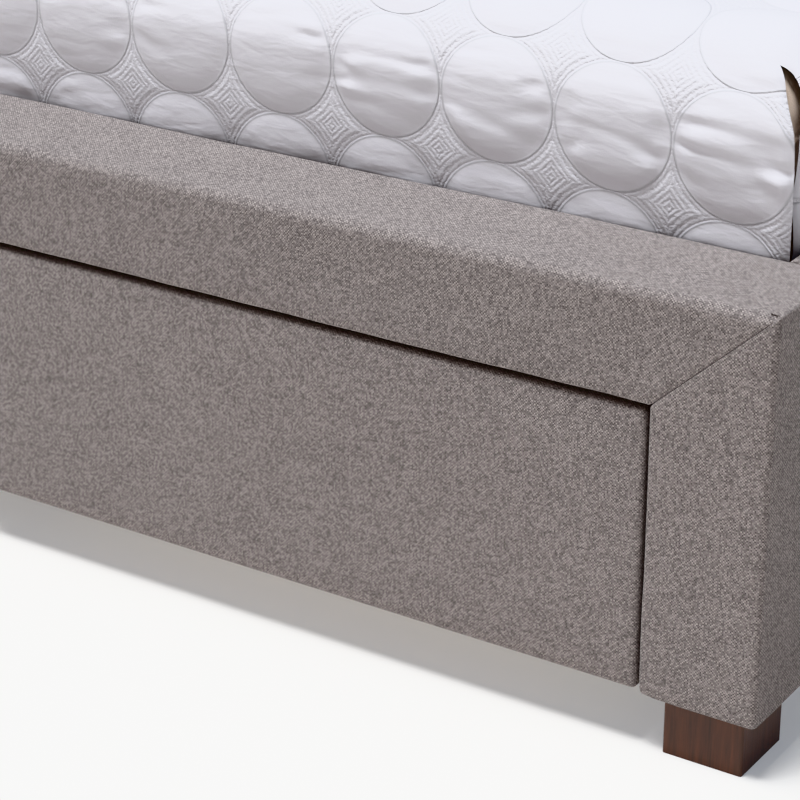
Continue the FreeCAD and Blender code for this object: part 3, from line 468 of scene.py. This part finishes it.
black_coat = powder_coat("black_powder_coat", "0E0E10", "1C1C1F")
for node in ("center_beam", "center_legs", "beam_hangers", "corner_brackets"):
    refinish(node, black_coat)
zinc = zinc_plate("zinc_plated_steel")
for node in ("corner_screws", "foot_studs", "slide_housing_members"):
    refinish(node, zinc)


# ---------------------------------------------------------------- levellers and their inserts
# Moulded nylon feet and tube plugs: near black, with the fine spark texture of the mould.

def moulded(name, colour, worn, grain_mm, roughness):
    """Moulded plastic or rubber with the texture of its mould."""
    material, tree, shader = new_material(name)
    grain = add(tree, "ShaderNodeTexNoise", {"Vector": laid_along(tree, grain_mm, grain_mm, grain_mm),
                                             "Scale": 1.0, "Detail": 3.0})
    bloom = add(tree, "ShaderNodeTexNoise", {"Vector": laid_along(tree, 22, 22, 22), "Scale": 1.0,
                                             "Detail": 4.0})
    finish_surface(tree, shader, bloom, colour, worn, grain, 0.08, {"Roughness": roughness})
    return material


nylon = moulded("moulded_black_nylon", "131314", "232325", 0.8, 0.55)
for node in ("front_leveller", "middle_leveller", "rear_leveller", "leveller_inserts"):
    refinish(node, nylon)
refinish("drawer_bumpers", moulded("black_rubber", "171716", "2A2A28", 1.2, 0.8))


# ---------------------------------------------------------------- drawers
# Open boxes of lacquered birch plywood behind padded fronts. Each front is a board wrapped in foam
# and fabric, its edges and corners rounded by the padding, and its cloth stapled behind.

FRONT_EDGE_RADIUS = 5 * MM
FRONT_STEP = 12 * MM
BACK_EDGE = 0.6 * MM      # the cloth turns in behind over this depth
BACK_TURN = 1.5 * MM
STAPLED_MARGIN = 22 * MM
CROWN = 1.2 * MM          # how far the middle of the face stands proud of its edge
CROWN_DEPTH = 6 * MM      # the crown fades out within this depth of the face
FRONT_WAVE = 140 * MM


def padded_front(name, low, high, seed):
    """A rounded, slightly crowned board cover: a flat field inside rings that roll over the edge."""
    radius = FRONT_EDGE_RADIUS
    x_low, x_high, z_low, z_high = low.x + radius, high.x - radius, low.z + radius, high.z - radius
    # Each ring is (how far out from the field, how far behind the face, how far along the cloth).
    rings = [(radius * math.sin(angle), radius * (1 - math.cos(angle)), radius * angle)
             for angle in np.linspace(0, math.pi / 2, 7)[1:]]
    side_depth = high.y - low.y - BACK_EDGE
    rings += [(radius, depth, radius * math.pi / 2 + depth - radius)
              for depth in np.linspace(radius, side_depth, 4)[1:]]
    cloth_run = rings[-1][2]
    rings += [(radius - back, side_depth + BACK_EDGE, cloth_run + back)
              for back in (BACK_TURN, STAPLED_MARGIN)]
    across = max(2, round((x_high - x_low) / FRONT_STEP))
    up = max(2, round((z_high - z_low) / FRONT_STEP))
    # The field's outline, counter-clockwise from its lower left, with a fan of directions at each corner.
    route, fan = [], []
    corners = [(x_low, z_low, 180), (x_high, z_low, 270), (x_high, z_high, 0), (x_low, z_high, 90)]
    for number, (x, z, angle) in enumerate(corners):
        for turn in np.radians(np.linspace(angle, angle + 90, 7)):
            route.append((x, z))
            fan.append((math.cos(turn), math.sin(turn)))
        next_x, next_z, _ = corners[(number + 1) % 4]
        count = up if number % 2 else across
        outward = np.radians(angle + 90)
        for part in np.arange(1, count) / count:
            route.append((x + (next_x - x) * part, z + (next_z - z) * part))
            fan.append((math.cos(outward), math.sin(outward)))
    route, fan = np.array(route), np.array(fan)
    grid, cloth = [], []
    for reach, depth, run in [(0.0, 0.0, 0.0)] + rings:
        spot = route + fan * reach
        grid.append(np.stack([spot[:, 0], np.full(len(spot), low.y + depth), spot[:, 1]], axis=1))
        laid = route + fan * run
        cloth.append(np.append(laid, laid[:1], axis=0))
    piece = cloth_object(name, np.array(grid), np.array(cloth), True, upholstery)
    field_x, field_z = np.meshgrid(np.linspace(x_low, x_high, across + 1),
                                   np.linspace(z_low, z_high, up + 1))
    field = np.stack([field_x, np.full(field_x.shape, low.y), field_z], axis=-1)
    front = cloth_object(f"{name}_field", field, np.stack([field_x, field_z], axis=-1), False, upholstery)
    front.data.flip_normals()
    join([piece, front])
    weld(piece)
    crown(piece, low, high, seed)
    return piece


def join(objects):
    """Joins meshes into the first."""
    bpy.ops.object.select_all(action="DESELECT")
    for item in objects:
        item.select_set(True)
    bpy.context.view_layer.objects.active = objects[0]
    bpy.ops.object.join()


def weld(piece):
    """Merges points that coincide and turns every face outwards."""
    work = bmesh.new()
    work.from_mesh(piece.data)
    bmesh.ops.remove_doubles(work, verts=work.verts, dist=0.05 * MM)
    bmesh.ops.recalc_face_normals(work, faces=work.faces)
    work.to_mesh(piece.data)
    work.free()


def crown(piece, low, high, seed):
    """Lifts the front's face a little towards its middle, and unevenly, as foam does under cloth."""
    count = len(piece.data.vertices)
    points = np.empty(count * 3)
    piece.data.vertices.foreach_get("co", points)
    points = points.reshape(-1, 3)
    across = np.clip((points[:, 0] - low.x) / (high.x - low.x), 0, 1)
    up = np.clip((points[:, 2] - low.z) / (high.z - low.z), 0, 1)
    rise = np.minimum(1, 14 * across * (1 - across)) * np.minimum(1, 6 * up * (1 - up))
    face = np.clip(1 - (points[:, 1] - low.y) / CROWN_DEPTH, 0, 1)
    points[:, 1] -= face * (rise * CROWN + COVER_SINK * ripple(points, FRONT_WAVE, seed) - COVER_SINK)
    piece.data.vertices.foreach_set("co", points.ravel())
    piece.data.update()


birch_side = plywood("lacquered_birch_side", 0, (14, 120, 5), "E6D2AE", "CFB284")
birch_end = plywood("lacquered_birch_end", 1, (120, 14, 5), "E6D2AE", "CFB284")
birch_floor = plywood("lacquered_birch_floor", 2, (120, 8, 14), "E9D6B4", "D3B88B")
for side, sign in SIDES.items():
    drawer = f"{side}_drawer"
    front = padded_front(f"{drawer}_front_upholstery", *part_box(f"{drawer}_front_cover"), 31 + sign)
    settle(front, drawer, [f"{drawer}_front_cover"])
    for part, finish in (("side_outer", birch_side), ("side_inner", birch_side), ("back", birch_end),
                         ("front_core", birch_end), ("bottom", birch_floor), ("slide_members", zinc),
                         ("middle_members", zinc)):
        refinish(f"{drawer}_{part}", finish)


# ---------------------------------------------------------------- headboard
# A padded field inside a mitred border that repeats the footboard, over a plywood frame. The back
# is closed with thin black spun-bonded cloth.

BORDER_INNER_RADIUS = 9 * MM
BORDER_OUTER_RADIUS = 13 * MM
WRAP_RADIUS = 1 * MM

field_low, field_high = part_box("headboard_center_pad")
(side_inner, head_front, head_low), (side_outer, head_back, head_top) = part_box("headboard_right_border")
field_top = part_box("headboard_top_border")[0].z
panel_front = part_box("headboard_panel")[0].y
frame_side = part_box("headboard_frame")[1].x
frame_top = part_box("headboard_frame")[1].z
border_slope = (head_top - field_top) / (side_outer - side_inner)


def border_corners(inner, outer, wrapped):
    """The border's section: padding in front and a thinner wrap round the frame's outer edge."""
    return [
        (head_front, inner, BORDER_INNER_RADIUS),
        (panel_front, inner, HIDDEN_RADIUS),
        (panel_front, wrapped, WRAP_RADIUS),
        (head_back, wrapped, WRAP_RADIUS),
        (head_back, outer, HIDDEN_RADIUS),
        (head_front, outer, BORDER_OUTER_RADIUS),
    ]


outline = rounded_outline(border_corners(field_top, head_top, frame_top), COVER_STEP)
reach = side_inner + (outline[0][:, 1] - field_top) / border_slope
border = swept_cover("headboard_top_border_upholstery", outline, -reach, reach,
                     seam_end, seam_end, along_x, 41)
settle(border, "bed_frame", ["headboard_top_border"])

for side, sign in SIDES.items():
    corners = [(sign * x, y, radius) for y, x, radius in border_corners(side_inner, side_outer, frame_side)]
    outline = rounded_outline(corners[::-1] if sign > 0 else corners, COVER_STEP)
    top = field_top + (np.abs(outline[0][:, 0]) - side_inner) * border_slope
    border = swept_cover(f"headboard_{side}_border_upholstery", outline, np.full(len(top), head_low), top,
                         rolled_end(HEM_ROLL, HEM_TUCK / 4), seam_end, along_z, 43 + sign)
    settle(border, "bed_frame", [f"headboard_{side}_border"])

field = padded_front("headboard_field_upholstery", field_low, field_high, 51)
settle(field, "bed_frame", ["headboard_center_pad"])


def spun_bonded_cloth(name):
    """Thin black polypropylene cloth: a random felt of fibres with a pressed grid of dots."""
    material, tree, shader = new_material(name)
    felt = add(tree, "ShaderNodeTexNoise", {"Vector": laid_along(tree, 2.5, 2.5, 2.5), "Scale": 1.0,
                                            "Detail": 8.0, "Roughness": 0.8})
    dots = add(tree, "ShaderNodeTexVoronoi", {"Vector": laid_along(tree, 2.2, 2.2, 2.2), "Scale": 1.0,
                                              "Randomness": 0.15})
    mixed = add(tree, "ShaderNodeMix", {0: 0.5, 2: felt, 3: dots.outputs["Distance"]})
    finish_surface(tree, shader, mixed, "0C0C0E", "2B2B2F", mixed, 0.2, {"Roughness": 0.85})
    return material


refinish("headboard_back_cloth", spun_bonded_cloth("black_spun_bonded_cloth"))


# ---------------------------------------------------------------- mattress
# A sprung mattress in knitted ticking. Its border is closed at the bottom by a taped edge and at the
# top by another, over which the padded top panel rolls in a soft shoulder.

MATTRESS_CORNER = 22 * MM
TAPE_RADIUS = 4 * MM
SHOULDER = 68 * MM
BORDER_HOLLOW = 3 * MM   # the border sinks this far between its two taped edges
EASE = 3 * MM            # the mattress is smaller than its solid, to leave room for the coverlet
UNDER_EASE = 1.5 * MM
MATTRESS_STEP = 30 * MM

mattress_low, mattress_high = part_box("mattress")


def knitted_ticking(name):
    """Knitted polyester ticking with a small raised rhombic figure."""
    material, tree, shader = new_material(name)
    knit = add(tree, "ShaderNodeTexNoise", {"Vector": laid_along(tree, 1.2, 1.2, 1.2), "Scale": 1.0,
                                            "Detail": 2.0})
    figure = add(tree, "ShaderNodeTexVoronoi", {"Vector": laid_along(tree, 24, 24, 24), "Scale": 1.0,
                                                "Randomness": 0.0}, distance="MANHATTAN")
    mixed = add(tree, "ShaderNodeMix", {0: 0.6, 2: knit, 3: figure.outputs["Distance"]})
    finish_surface(tree, shader, mixed, "BFA999", "D8C6B7", mixed, 0.8, {"Roughness": 0.8})
    return material


def mattress_body():
    """Rings from the middle of the underside up the border and over the shoulder to the top's middle."""
    x_reach, y_mid = mattress_high.x - EASE, (mattress_low.y + mattress_high.y) / 2
    y_reach = (mattress_high.y - mattress_low.y) / 2 - EASE
    points, normals, run = rounded_outline([
        (-x_reach, -y_reach, MATTRESS_CORNER),
        (x_reach, -y_reach, MATTRESS_CORNER),
        (x_reach, y_reach, MATTRESS_CORNER),
        (-x_reach, y_reach, MATTRESS_CORNER),
    ], MATTRESS_STEP)
    bottom, top = mattress_low.z + UNDER_EASE, mattress_high.z - EASE
    tape_low, tape_high = bottom + TAPE_RADIUS, top - SHOULDER - TAPE_RADIUS
    # The section is (how far in from the border, height): underside, lower tape, border, upper tape, top.
    section = [(part * x_reach, bottom) for part in (1.0, 0.75, 0.5, 0.25, 0.08, 0.01)]
    for turn in np.radians(np.linspace(-60, 90, 7)):
        section.append((TAPE_RADIUS * (1 - math.cos(turn)), tape_low + TAPE_RADIUS * math.sin(turn)))
    for part in np.linspace(0.05, 0.95, 12):
        section.append((TAPE_RADIUS - BORDER_HOLLOW * math.sin(math.pi * part),
                        tape_low + TAPE_RADIUS + (tape_high - tape_low - 2 * TAPE_RADIUS) * part))
    for turn in np.radians(np.linspace(-90, 60, 7)):
        section.append((TAPE_RADIUS * (1 - math.cos(turn)), tape_high + TAPE_RADIUS * math.sin(turn)))
    for turn in np.radians(np.linspace(5, 90, 9)):
        section.append((SHOULDER * (1 - math.cos(turn)), top - SHOULDER * (1 - math.sin(turn))))
    section += [(part * x_reach, top) for part in (0.12, 0.25, 0.5, 0.75, 1.0)]
    grid = []
    for inset, level in section:
        tucked = min(inset, MATTRESS_CORNER * 0.6)
        ring = points - normals * tucked
        share = (np.array([x_reach, y_reach]) - inset) / (np.array([x_reach, y_reach]) - tucked)
        share[1] = share[1] if inset < x_reach * 0.99 else (y_reach - x_reach) / (y_reach - tucked)
        ring = ring * share
        grid.append(np.stack([ring[:, 0], ring[:, 1] + y_mid, np.full(len(ring), level)], axis=1))
    cloth = np.stack(np.meshgrid(run, np.arange(len(section)) * 0.01), axis=-1)
    piece = cloth_object("mattress_ticking", np.array(grid), cloth, True,
                         knitted_ticking("knitted_ticking"))
    weld(piece)
    return piece


mattress = mattress_body()
settle(mattress, "mattress", ["mattress"])


# ---------------------------------------------------------------- coverlet
# White quilted cotton in one cross-shaped cut with open corners at the foot. Stitched circles in a
# square lattice puff up, and the star-shaped gaps between them are flat with close rows of stitching.

PITCH = 110 * MM          # lattice of the quilting, across the bed
ROW_PITCH = 108.5 * MM    # along the cloth, where the stitching has drawn it in
CIRCLE = 53.5 * MM        # radius of a stitched circle
STITCH_MM = 4.5           # rows of stitching in the gaps between the circles
PUFF = 4.8 * MM
GAP_LIFT = 1.4 * MM       # the gaps and the plain border are wadded too, less and evenly
PLAIN_LIFT = 3 * MM
PLAIN_FROM, PLAIN_TO = 738 * MM, 762 * MM     # no quilting beyond this, beside the open corners
SIDE_EDGE = 34 * MM       # bend over the mattress's upper edge, at the sides
FOOT_EDGE = 76 * MM       # the same at the foot
LATTICE_LEVEL = 436.5 * MM    # a row of stitched stars lies at this height on the foot face
ROW_SINK = 20 * MM        # the rows sink this far at the corners, where the cloth hangs more freely
CORNER_IN = 9 * MM        # the open corner starts this far round the side's bend
FLAP_WIDENING = 27 * MM   # the foot flap's edge runs out this far over the corner,
WIDENING_DEPTH = 24 * MM  # most of it within this length,
WIDENING_WIDTH = 90 * MM  # and the cloth is drawn after it from this far in
FALL = 60 * MM            # the cloth goes over from bent to hanging within this length of the corner
FOLD_DEPTH = 0.4 * MM     # creases: everywhere, where the cloth hangs, and more at the sides
HANGING_FOLD_DEPTH = 2.9 * MM
SIDE_FOLD_DEPTH = 1.8 * MM
EDGE_ROLL = 5 * MM        # a free edge is rolled under within this width
EDGE_CURVE = 6 * MM
UNEVENNESS = 1.2 * MM     # of the wadding, in patches wider than a circle
WADDING_SINK = 1.5 * MM
SQUEEZE_START = 3 * MM    # so far below the frame's top, the cloth is squeezed against the mattress
SQUEEZE_BLEND = 8 * MM
SQUEEZE_SINK = 2 * MM
SOLID_EASE = 3 * MM       # room for the puffs inside the solid, at its sides and top
SOLID_END_EASE = 4 * MM   # the same at its foot and lower edge

cover_low, cover_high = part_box("coverlet")
half_width = cover_high.x - SOLID_EASE
foot_face = cover_low.y + SOLID_END_EASE
cover_top = cover_high.z - SOLID_EASE
drop = cover_top - cover_low.z - SOLID_END_EASE
side_arc, foot_arc = SIDE_EDGE * math.pi / 2, FOOT_EDGE * math.pi / 2
side_turn = half_width - SIDE_EDGE        # where the cloth starts to bend at the sides
foot_turn = -foot_face - FOOT_EDGE        # the same at the foot, measured towards the foot
head_turn = mattress_high.y - FOOT_EDGE   # and at the head, where it ends part way round the bend
side_reach = side_turn + side_arc + drop - SIDE_EDGE
foot_reach = foot_turn + foot_arc + drop - FOOT_EDGE
head_reach = head_turn + 0.6 * foot_arc


def over_edge(run, turn, radius):
    """A cloth run that bends over an edge: how far out it lies, how far down, and the bend's angle."""
    past = np.clip(run - turn, 0, None)
    angle = np.clip(past / radius, 0, math.pi / 2)
    out = np.minimum(run, turn) + radius * np.sin(angle)
    down = radius * (1 - np.cos(angle)) + np.clip(past - radius * math.pi / 2, 0, None)
    return out, down, angle


def smooth(low, high, number):
    """0 below low, 1 above high, and smooth between."""
    part = np.clip((number - low) / (high - low), 0, 1)
    return part * part * (3 - 2 * part)


def patches(a, b, seed):
    """Smooth random numbers from -1 to 1 over a plane, with about one patch to each unit square."""
    size = 97      # so many squares before the numbers repeat
    dice = np.random.default_rng(seed).uniform(-1, 1, (size, size))
    left, low = np.floor(a).astype(int), np.floor(b).astype(int)
    part_a, part_b = smooth(0, 1, a - left), smooth(0, 1, b - low)
    left, right, low, high = left % size, (left + 1) % size, low % size, (low + 1) % size
    near = dice[left, low] * (1 - part_a) + dice[right, low] * part_a
    far = dice[left, high] * (1 - part_a) + dice[right, high] * part_a
    return near * (1 - part_b) + far * part_b


def lines_between(low, high, step):
    """Evenly spaced numbers from low up to high, near the step, without the last."""
    count = max(1, round((high - low) / step))
    return low + (high - low) * np.arange(count) / count


# The flat cloth runs along u across the bed and along v towards its foot, from the middle of the top.
# The corners are open at the foot: the flap and the side drops part at one point and hang flat below.
corner_u, corner_v = side_turn + CORNER_IN, foot_turn + 0.5 * foot_arc
cell_u, cell_v, far_cell_v = PITCH / 20, ROW_PITCH / 40, ROW_PITCH / 18
fine_v = foot_turn - 1.5 * ROW_PITCH      # the foot's bend and face have the finer cells
u_lines = np.concatenate([
    lines_between(-side_reach, -corner_u, cell_u),
    lines_between(-corner_u, corner_u, cell_u),
    lines_between(corner_u, side_reach, cell_u),
    [side_reach],
])
v_lines = np.concatenate([
    lines_between(-head_reach, fine_v, far_cell_v),
    lines_between(fine_v, corner_v, cell_v),
    lines_between(corner_v, foot_reach, cell_v),
    [foot_reach],
])
u, v = np.meshgrid(u_lines, v_lines)
cut = (np.abs(u) > corner_u + 1e-6) & (v > corner_v + 1e-6)
below = np.clip(v - corner_v, 0, None)
beyond = np.clip(np.abs(u) - corner_u, 0, None)
flap_edge = corner_u + FLAP_WIDENING * (1 - np.exp(-below / WIDENING_DEPTH))
widened = (flap_edge - corner_u) * smooth(corner_u - WIDENING_WIDTH, corner_u, np.abs(u))
u = np.where(cut, u, u + np.sign(u) * widened)

x_out, x_down, x_angle = over_edge(np.abs(u), side_turn, SIDE_EDGE)
y_out, y_down, y_angle = over_edge(v, foot_turn, FOOT_EDGE)
head_out, head_down, head_angle = over_edge(-v, head_turn, FOOT_EDGE)
y_out = np.where(v < 0, -head_out, y_out)
y_down = y_down + head_down
y_angle = y_angle - head_angle

# The flap keeps only the bend over the foot, and each side drop only the bend over its side.
flap = smooth(0, FALL, below)
side_drop = smooth(0, FALL, beyond) * (v > 0)
x_out = x_out + (np.abs(u) - x_out) * flap
x_down = x_down * (1 - flap)
x_angle = x_angle * (1 - flap)
y_out = y_out + (v - y_out) * side_drop
y_down = y_down * (1 - side_drop)
y_angle = y_angle * (1 - side_drop)

# Stitching: whole numbers of columns and rows lie at the stars' middles, and the circles between them.
hanging = smooth(0, FALL, y_down) * (v > 0)
sink = ROW_SINK * (np.abs(u) / half_width) ** 3 * smooth(-0.5, 0.0, v - foot_turn)
level_v = foot_turn + foot_arc + (cover_top - FOOT_EDGE - LATTICE_LEVEL)      # a row of stars near the rail
rows = (v - level_v - sink) / ROW_PITCH
columns = u / PITCH
radial = np.hypot((columns % 1 - 0.5) * PITCH, (rows % 1 - 0.5) * ROW_PITCH)
plain_border = smooth(PLAIN_FROM, PLAIN_TO, np.abs(u)) * hanging
inside = np.clip(1 - (radial / CIRCLE) ** 2.6, 0, 1)
gap = smooth(0, 10 * MM, radial - CIRCLE)
height = (PUFF * inside ** 0.75 + GAP_LIFT * gap) * (1 - plain_border) + PLAIN_LIFT * plain_border

# Creases start at the sides of each circle and run across it: deep where the foot face hangs, faint
# on the top.
folds = patches(columns / 0.70, rows / 0.19, 5) + 0.45 * patches(columns / 0.45, rows / 0.11, 6)
valley = -np.exp(-(folds / 0.42) ** 2)
drawn = 0.4 + 0.6 * smooth(12 * MM, 40 * MM, np.abs(columns % 1 - 0.5) * PITCH)
where = smooth(-0.35, 0.35, patches(columns / 1.1, rows / 0.55, 7) + 0.15)
at_sides = smooth(600 * MM, 700 * MM, np.abs(u))
depth = FOLD_DEPTH + (HANGING_FOLD_DEPTH + SIDE_FOLD_DEPTH * at_sides) * hanging
height += smooth(0, 9 * MM, CIRCLE - radial) * drawn * where * depth * (valley + 0.35 + 0.35 * folds)
height += UNEVENNESS * patches(columns / 1.5, rows / 1.2, 8) - WADDING_SINK

# Every free edge is rolled under.
free_edge = np.minimum(np.abs(side_reach - np.abs(u)), np.minimum(foot_reach - v, v + head_reach))
for edge, grown in ((free_edge, 1.0), (flap_edge - np.abs(u), smooth(0, 25 * MM, below)),
                    (corner_v - v, smooth(0, 25 * MM, beyond))):
    height -= np.clip(EDGE_ROLL - edge, 0, EDGE_ROLL) ** 2 / EDGE_CURVE * grown

toward = np.sign(u)
normal = np.stack([
    toward * np.sin(x_angle),
    -np.sin(y_angle) * np.cos(x_angle),
    np.cos(x_angle) * np.cos(y_angle),
], axis=-1)
base = np.stack([toward * x_out, -y_out, cover_top - x_down - y_down], axis=-1)
squeezed = smooth(0, SQUEEZE_BLEND, post_top - SQUEEZE_START - base[..., 2])
height -= squeezed * (0.55 * height + SQUEEZE_SINK)
points = base + normal * height[..., None]


def quilted_cotton(name):
    """White cotton percale, quilted in circles, with close rows of stitching in the gaps, and painted shade
    darkening its seams and the troughs of its stitched rows.
    """
    material, tree, shader = new_material(name)
    # This cloth map counts the quilting's columns and rows. Distances are in millimetres: ring is how
    # far outside a circle's seam, and diamond how far from a star's middle along its two axes.
    cloth = add(tree, "ShaderNodeUVMap", uv_map="cloth")
    middle, lattice_mm = (0.5, 0.5, 0), (PITCH / MM, ROW_PITCH / MM, 0)
    ring = add(tree, "ShaderNodeVectorMath", {0: cloth}, operation="FRACTION")
    ring = add(tree, "ShaderNodeVectorMath", {0: ring, 1: middle}, operation="SUBTRACT")
    ring = add(tree, "ShaderNodeVectorMath", {0: ring, 1: lattice_mm}, operation="MULTIPLY")
    ring = add(tree, "ShaderNodeVectorMath", {0: ring}, operation="LENGTH").outputs["Value"]
    ring = add(tree, "ShaderNodeMath", {0: ring, 1: CIRCLE / MM}, operation="SUBTRACT")
    star = add(tree, "ShaderNodeVectorMath", {0: cloth, 1: middle}, operation="ADD")
    star = add(tree, "ShaderNodeVectorMath", {0: star}, operation="FRACTION")
    star = add(tree, "ShaderNodeVectorMath", {0: star, 1: middle}, operation="SUBTRACT")
    star = add(tree, "ShaderNodeVectorMath", {0: star}, operation="ABSOLUTE")
    star = add(tree, "ShaderNodeSeparateXYZ", {0: star}).outputs
    diamond = add(tree, "ShaderNodeMath", {0: star[0], 1: star[1]}, operation="ADD")
    diamond = add(tree, "ShaderNodeMath", {0: diamond, 1: PITCH / MM}, operation="MULTIPLY")

    # Rows of stitching: round the circles near them, and turning to squares in each star's heart.
    heart = add(tree, "ShaderNodeMapRange", {"Value": diamond, "From Min": 26.0, "From Max": 12.0})
    straight = add(tree, "ShaderNodeMath", {0: diamond, 1: -0.8, 2: 24.0}, operation="MULTIPLY_ADD")
    lines = add(tree, "ShaderNodeMix", {0: heart, 2: ring, 3: straight})
    wave = add(tree, "ShaderNodeMath", {0: lines, 1: math.tau / STITCH_MM}, operation="MULTIPLY")
    wave = add(tree, "ShaderNodeMath", {0: wave}, operation="SINE")
    gap = add(tree, "ShaderNodeMapRange", {"Value": ring, "From Min": 0.0, "From Max": 1.5})
    place = add(tree, "ShaderNodeVectorMath", {0: cloth, 1: lattice_mm}, operation="MULTIPLY")
    pucker = add(tree, "ShaderNodeTexNoise", {"Vector": place, "Scale": 0.45, "Detail": 2.0})
    pucker = add(tree, "ShaderNodeMath", {0: pucker, 1: gap}, operation="MULTIPLY")
    stitched = add(tree, "ShaderNodeMath", {0: wave, 1: pucker}, operation="MULTIPLY")
    seam = add(tree, "ShaderNodeMath", {0: ring}, operation="ABSOLUTE")
    seam = add(tree, "ShaderNodeMapRange", {"Value": seam, "From Min": 0.0, "From Max": 1.5,
                                            "To Min": -1.0, "To Max": 0.0})

    # The cloth inside the circles is rumpled, and the yarn gives it the faintest grain.
    stretched = add(tree, "ShaderNodeVectorMath", {0: place, 1: (0.03, 0.09, 0)}, operation="MULTIPLY")
    rumple = add(tree, "ShaderNodeTexNoise", {"Vector": stretched, "Scale": 1.0, "Detail": 2.0,
                                              "Distortion": 0.3})
    thread = add(tree, "ShaderNodeTexNoise", {"Vector": place, "Scale": 0.7, "Detail": 2.0})
    relief = rumple
    for part, share in ((stitched, 0.42), (seam, 0.22), (pucker, 1.0), (thread, 0.10)):
        relief = add(tree, "ShaderNodeMath", {0: part, 1: share, 2: relief}, operation="MULTIPLY_ADD")
    # The colour is darkened along the seams and in the troughs of the stitched rows: painted shade in their
    # grooves.
    painted_seam_shade = add(tree, "ShaderNodeMath", {0: stitched, 1: 0.5, 2: seam}, operation="MULTIPLY_ADD")
    tone = add(tree, "ShaderNodeMapRange", {"Value": painted_seam_shade, "From Min": -1.0, "From Max": 0.0})
    finish_surface(tree, shader, tone, "BBBABF", "D0CED4", relief, 1.0,
                   {"Roughness": 0.75, "Specular IOR Level": 0.3, "Sheen Weight": 0.1})
    return material


cloth = np.stack([columns, rows], axis=-1)
coverlet = cloth_object("quilted_coverlet", points, cloth, False,
                        quilted_cotton("quilted_cotton_percale"))


def drop_points(piece, gone):
    """Takes out the marked points of a grid, and the cells at them."""
    marked = gone.ravel()
    work = bmesh.new()
    work.from_mesh(piece.data)
    work.verts.ensure_lookup_table()
    doomed = [vertex for vertex in work.verts if marked[vertex.index]]
    bmesh.ops.delete(work, geom=doomed, context="VERTS")
    work.to_mesh(piece.data)
    work.free()


drop_points(coverlet, cut)
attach(coverlet, "mattress")
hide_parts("coverlet")


# ---------------------------------------------------------------- floor, light and camera
# A plain pale floor that gives off a little light, so that shadows stay pale. The light is a soft
# overhead sun, a weaker one from the front, and a faint even sky.

FLOOR_SIZE = 600          # metres, so that its far edge stays at the horizon in low views
FLOOR_GLOW = 0.3
KEY = 6.0
FILL = 0.52
SKY = 0.17


def pale_floor(name):
    """Matt white painted floor with the faintest mottle."""
    material, tree, shader = new_material(name)
    cloud = add(tree, "ShaderNodeTexNoise", {"Vector": laid_along(tree, 900, 900, 900), "Scale": 1.0})
    colour = add(tree, "ShaderNodeMix", {0: cloud, 6: "D3CEC8", 7: "D6D1CB"}, data_type="RGBA")
    connect(tree, shader, {
        "Base Color": colour.outputs[2],
        "Emission Color": "EAF3FF",
        "Emission Strength": FLOOR_GLOW,
        "Roughness": 0.8,
    })
    return material


bpy.ops.mesh.primitive_plane_add(size=FLOOR_SIZE, location=(0, 0, 0))
floor = bpy.context.object
floor.name = "floor"
floor.data.materials.append(pale_floor("pale_floor"))


def soft_sun(name, strength, colour, toward, spread):
    """A soft light from far away, shining along toward; spread is its apparent size in degrees."""
    light = bpy.data.lights.new(name, "SUN")
    light.color = linear(colour)[:3]
    light.energy = strength
    light.angle = math.radians(spread)
    lamp = bpy.data.objects.new(name, light)
    lamp.rotation_mode = "QUATERNION"
    lamp.rotation_quaternion = Vector(toward).to_track_quat("-Z", "Y")
    bpy.context.scene.collection.objects.link(lamp)


soft_sun("overhead_softbox", KEY, "F6FBFF", (0.16, 0.12, -1.0), 22)
soft_sun("front_softbox", FILL, "FFF4EA", (0.45, 1.0, -0.55), 60)
world = bpy.data.worlds.new("studio")
world.use_nodes = True
connect(world.node_tree, world.node_tree.nodes["Background"], {"Color": "FBFBFF", "Strength": SKY})
bpy.context.scene.world = world
bpy.context.scene.view_settings.view_transform = "Khronos PBR Neutral"

# The camera stands off the right front corner, above the mattress, and looks down through a long lens.
camera_data = bpy.data.cameras.new("camera")
camera_data.sensor_width = 36.0
camera_data.lens = 118.5
camera = bpy.data.objects.new("camera", camera_data)
camera.location = (post_outer + 0.7653, post_front - 1.6677, post_top + 0.7225)
camera.rotation_euler = (math.radians(90 - 23.49), 0, math.radians(33.47))
bpy.context.scene.collection.objects.link(camera)
bpy.context.scene.camera = camera
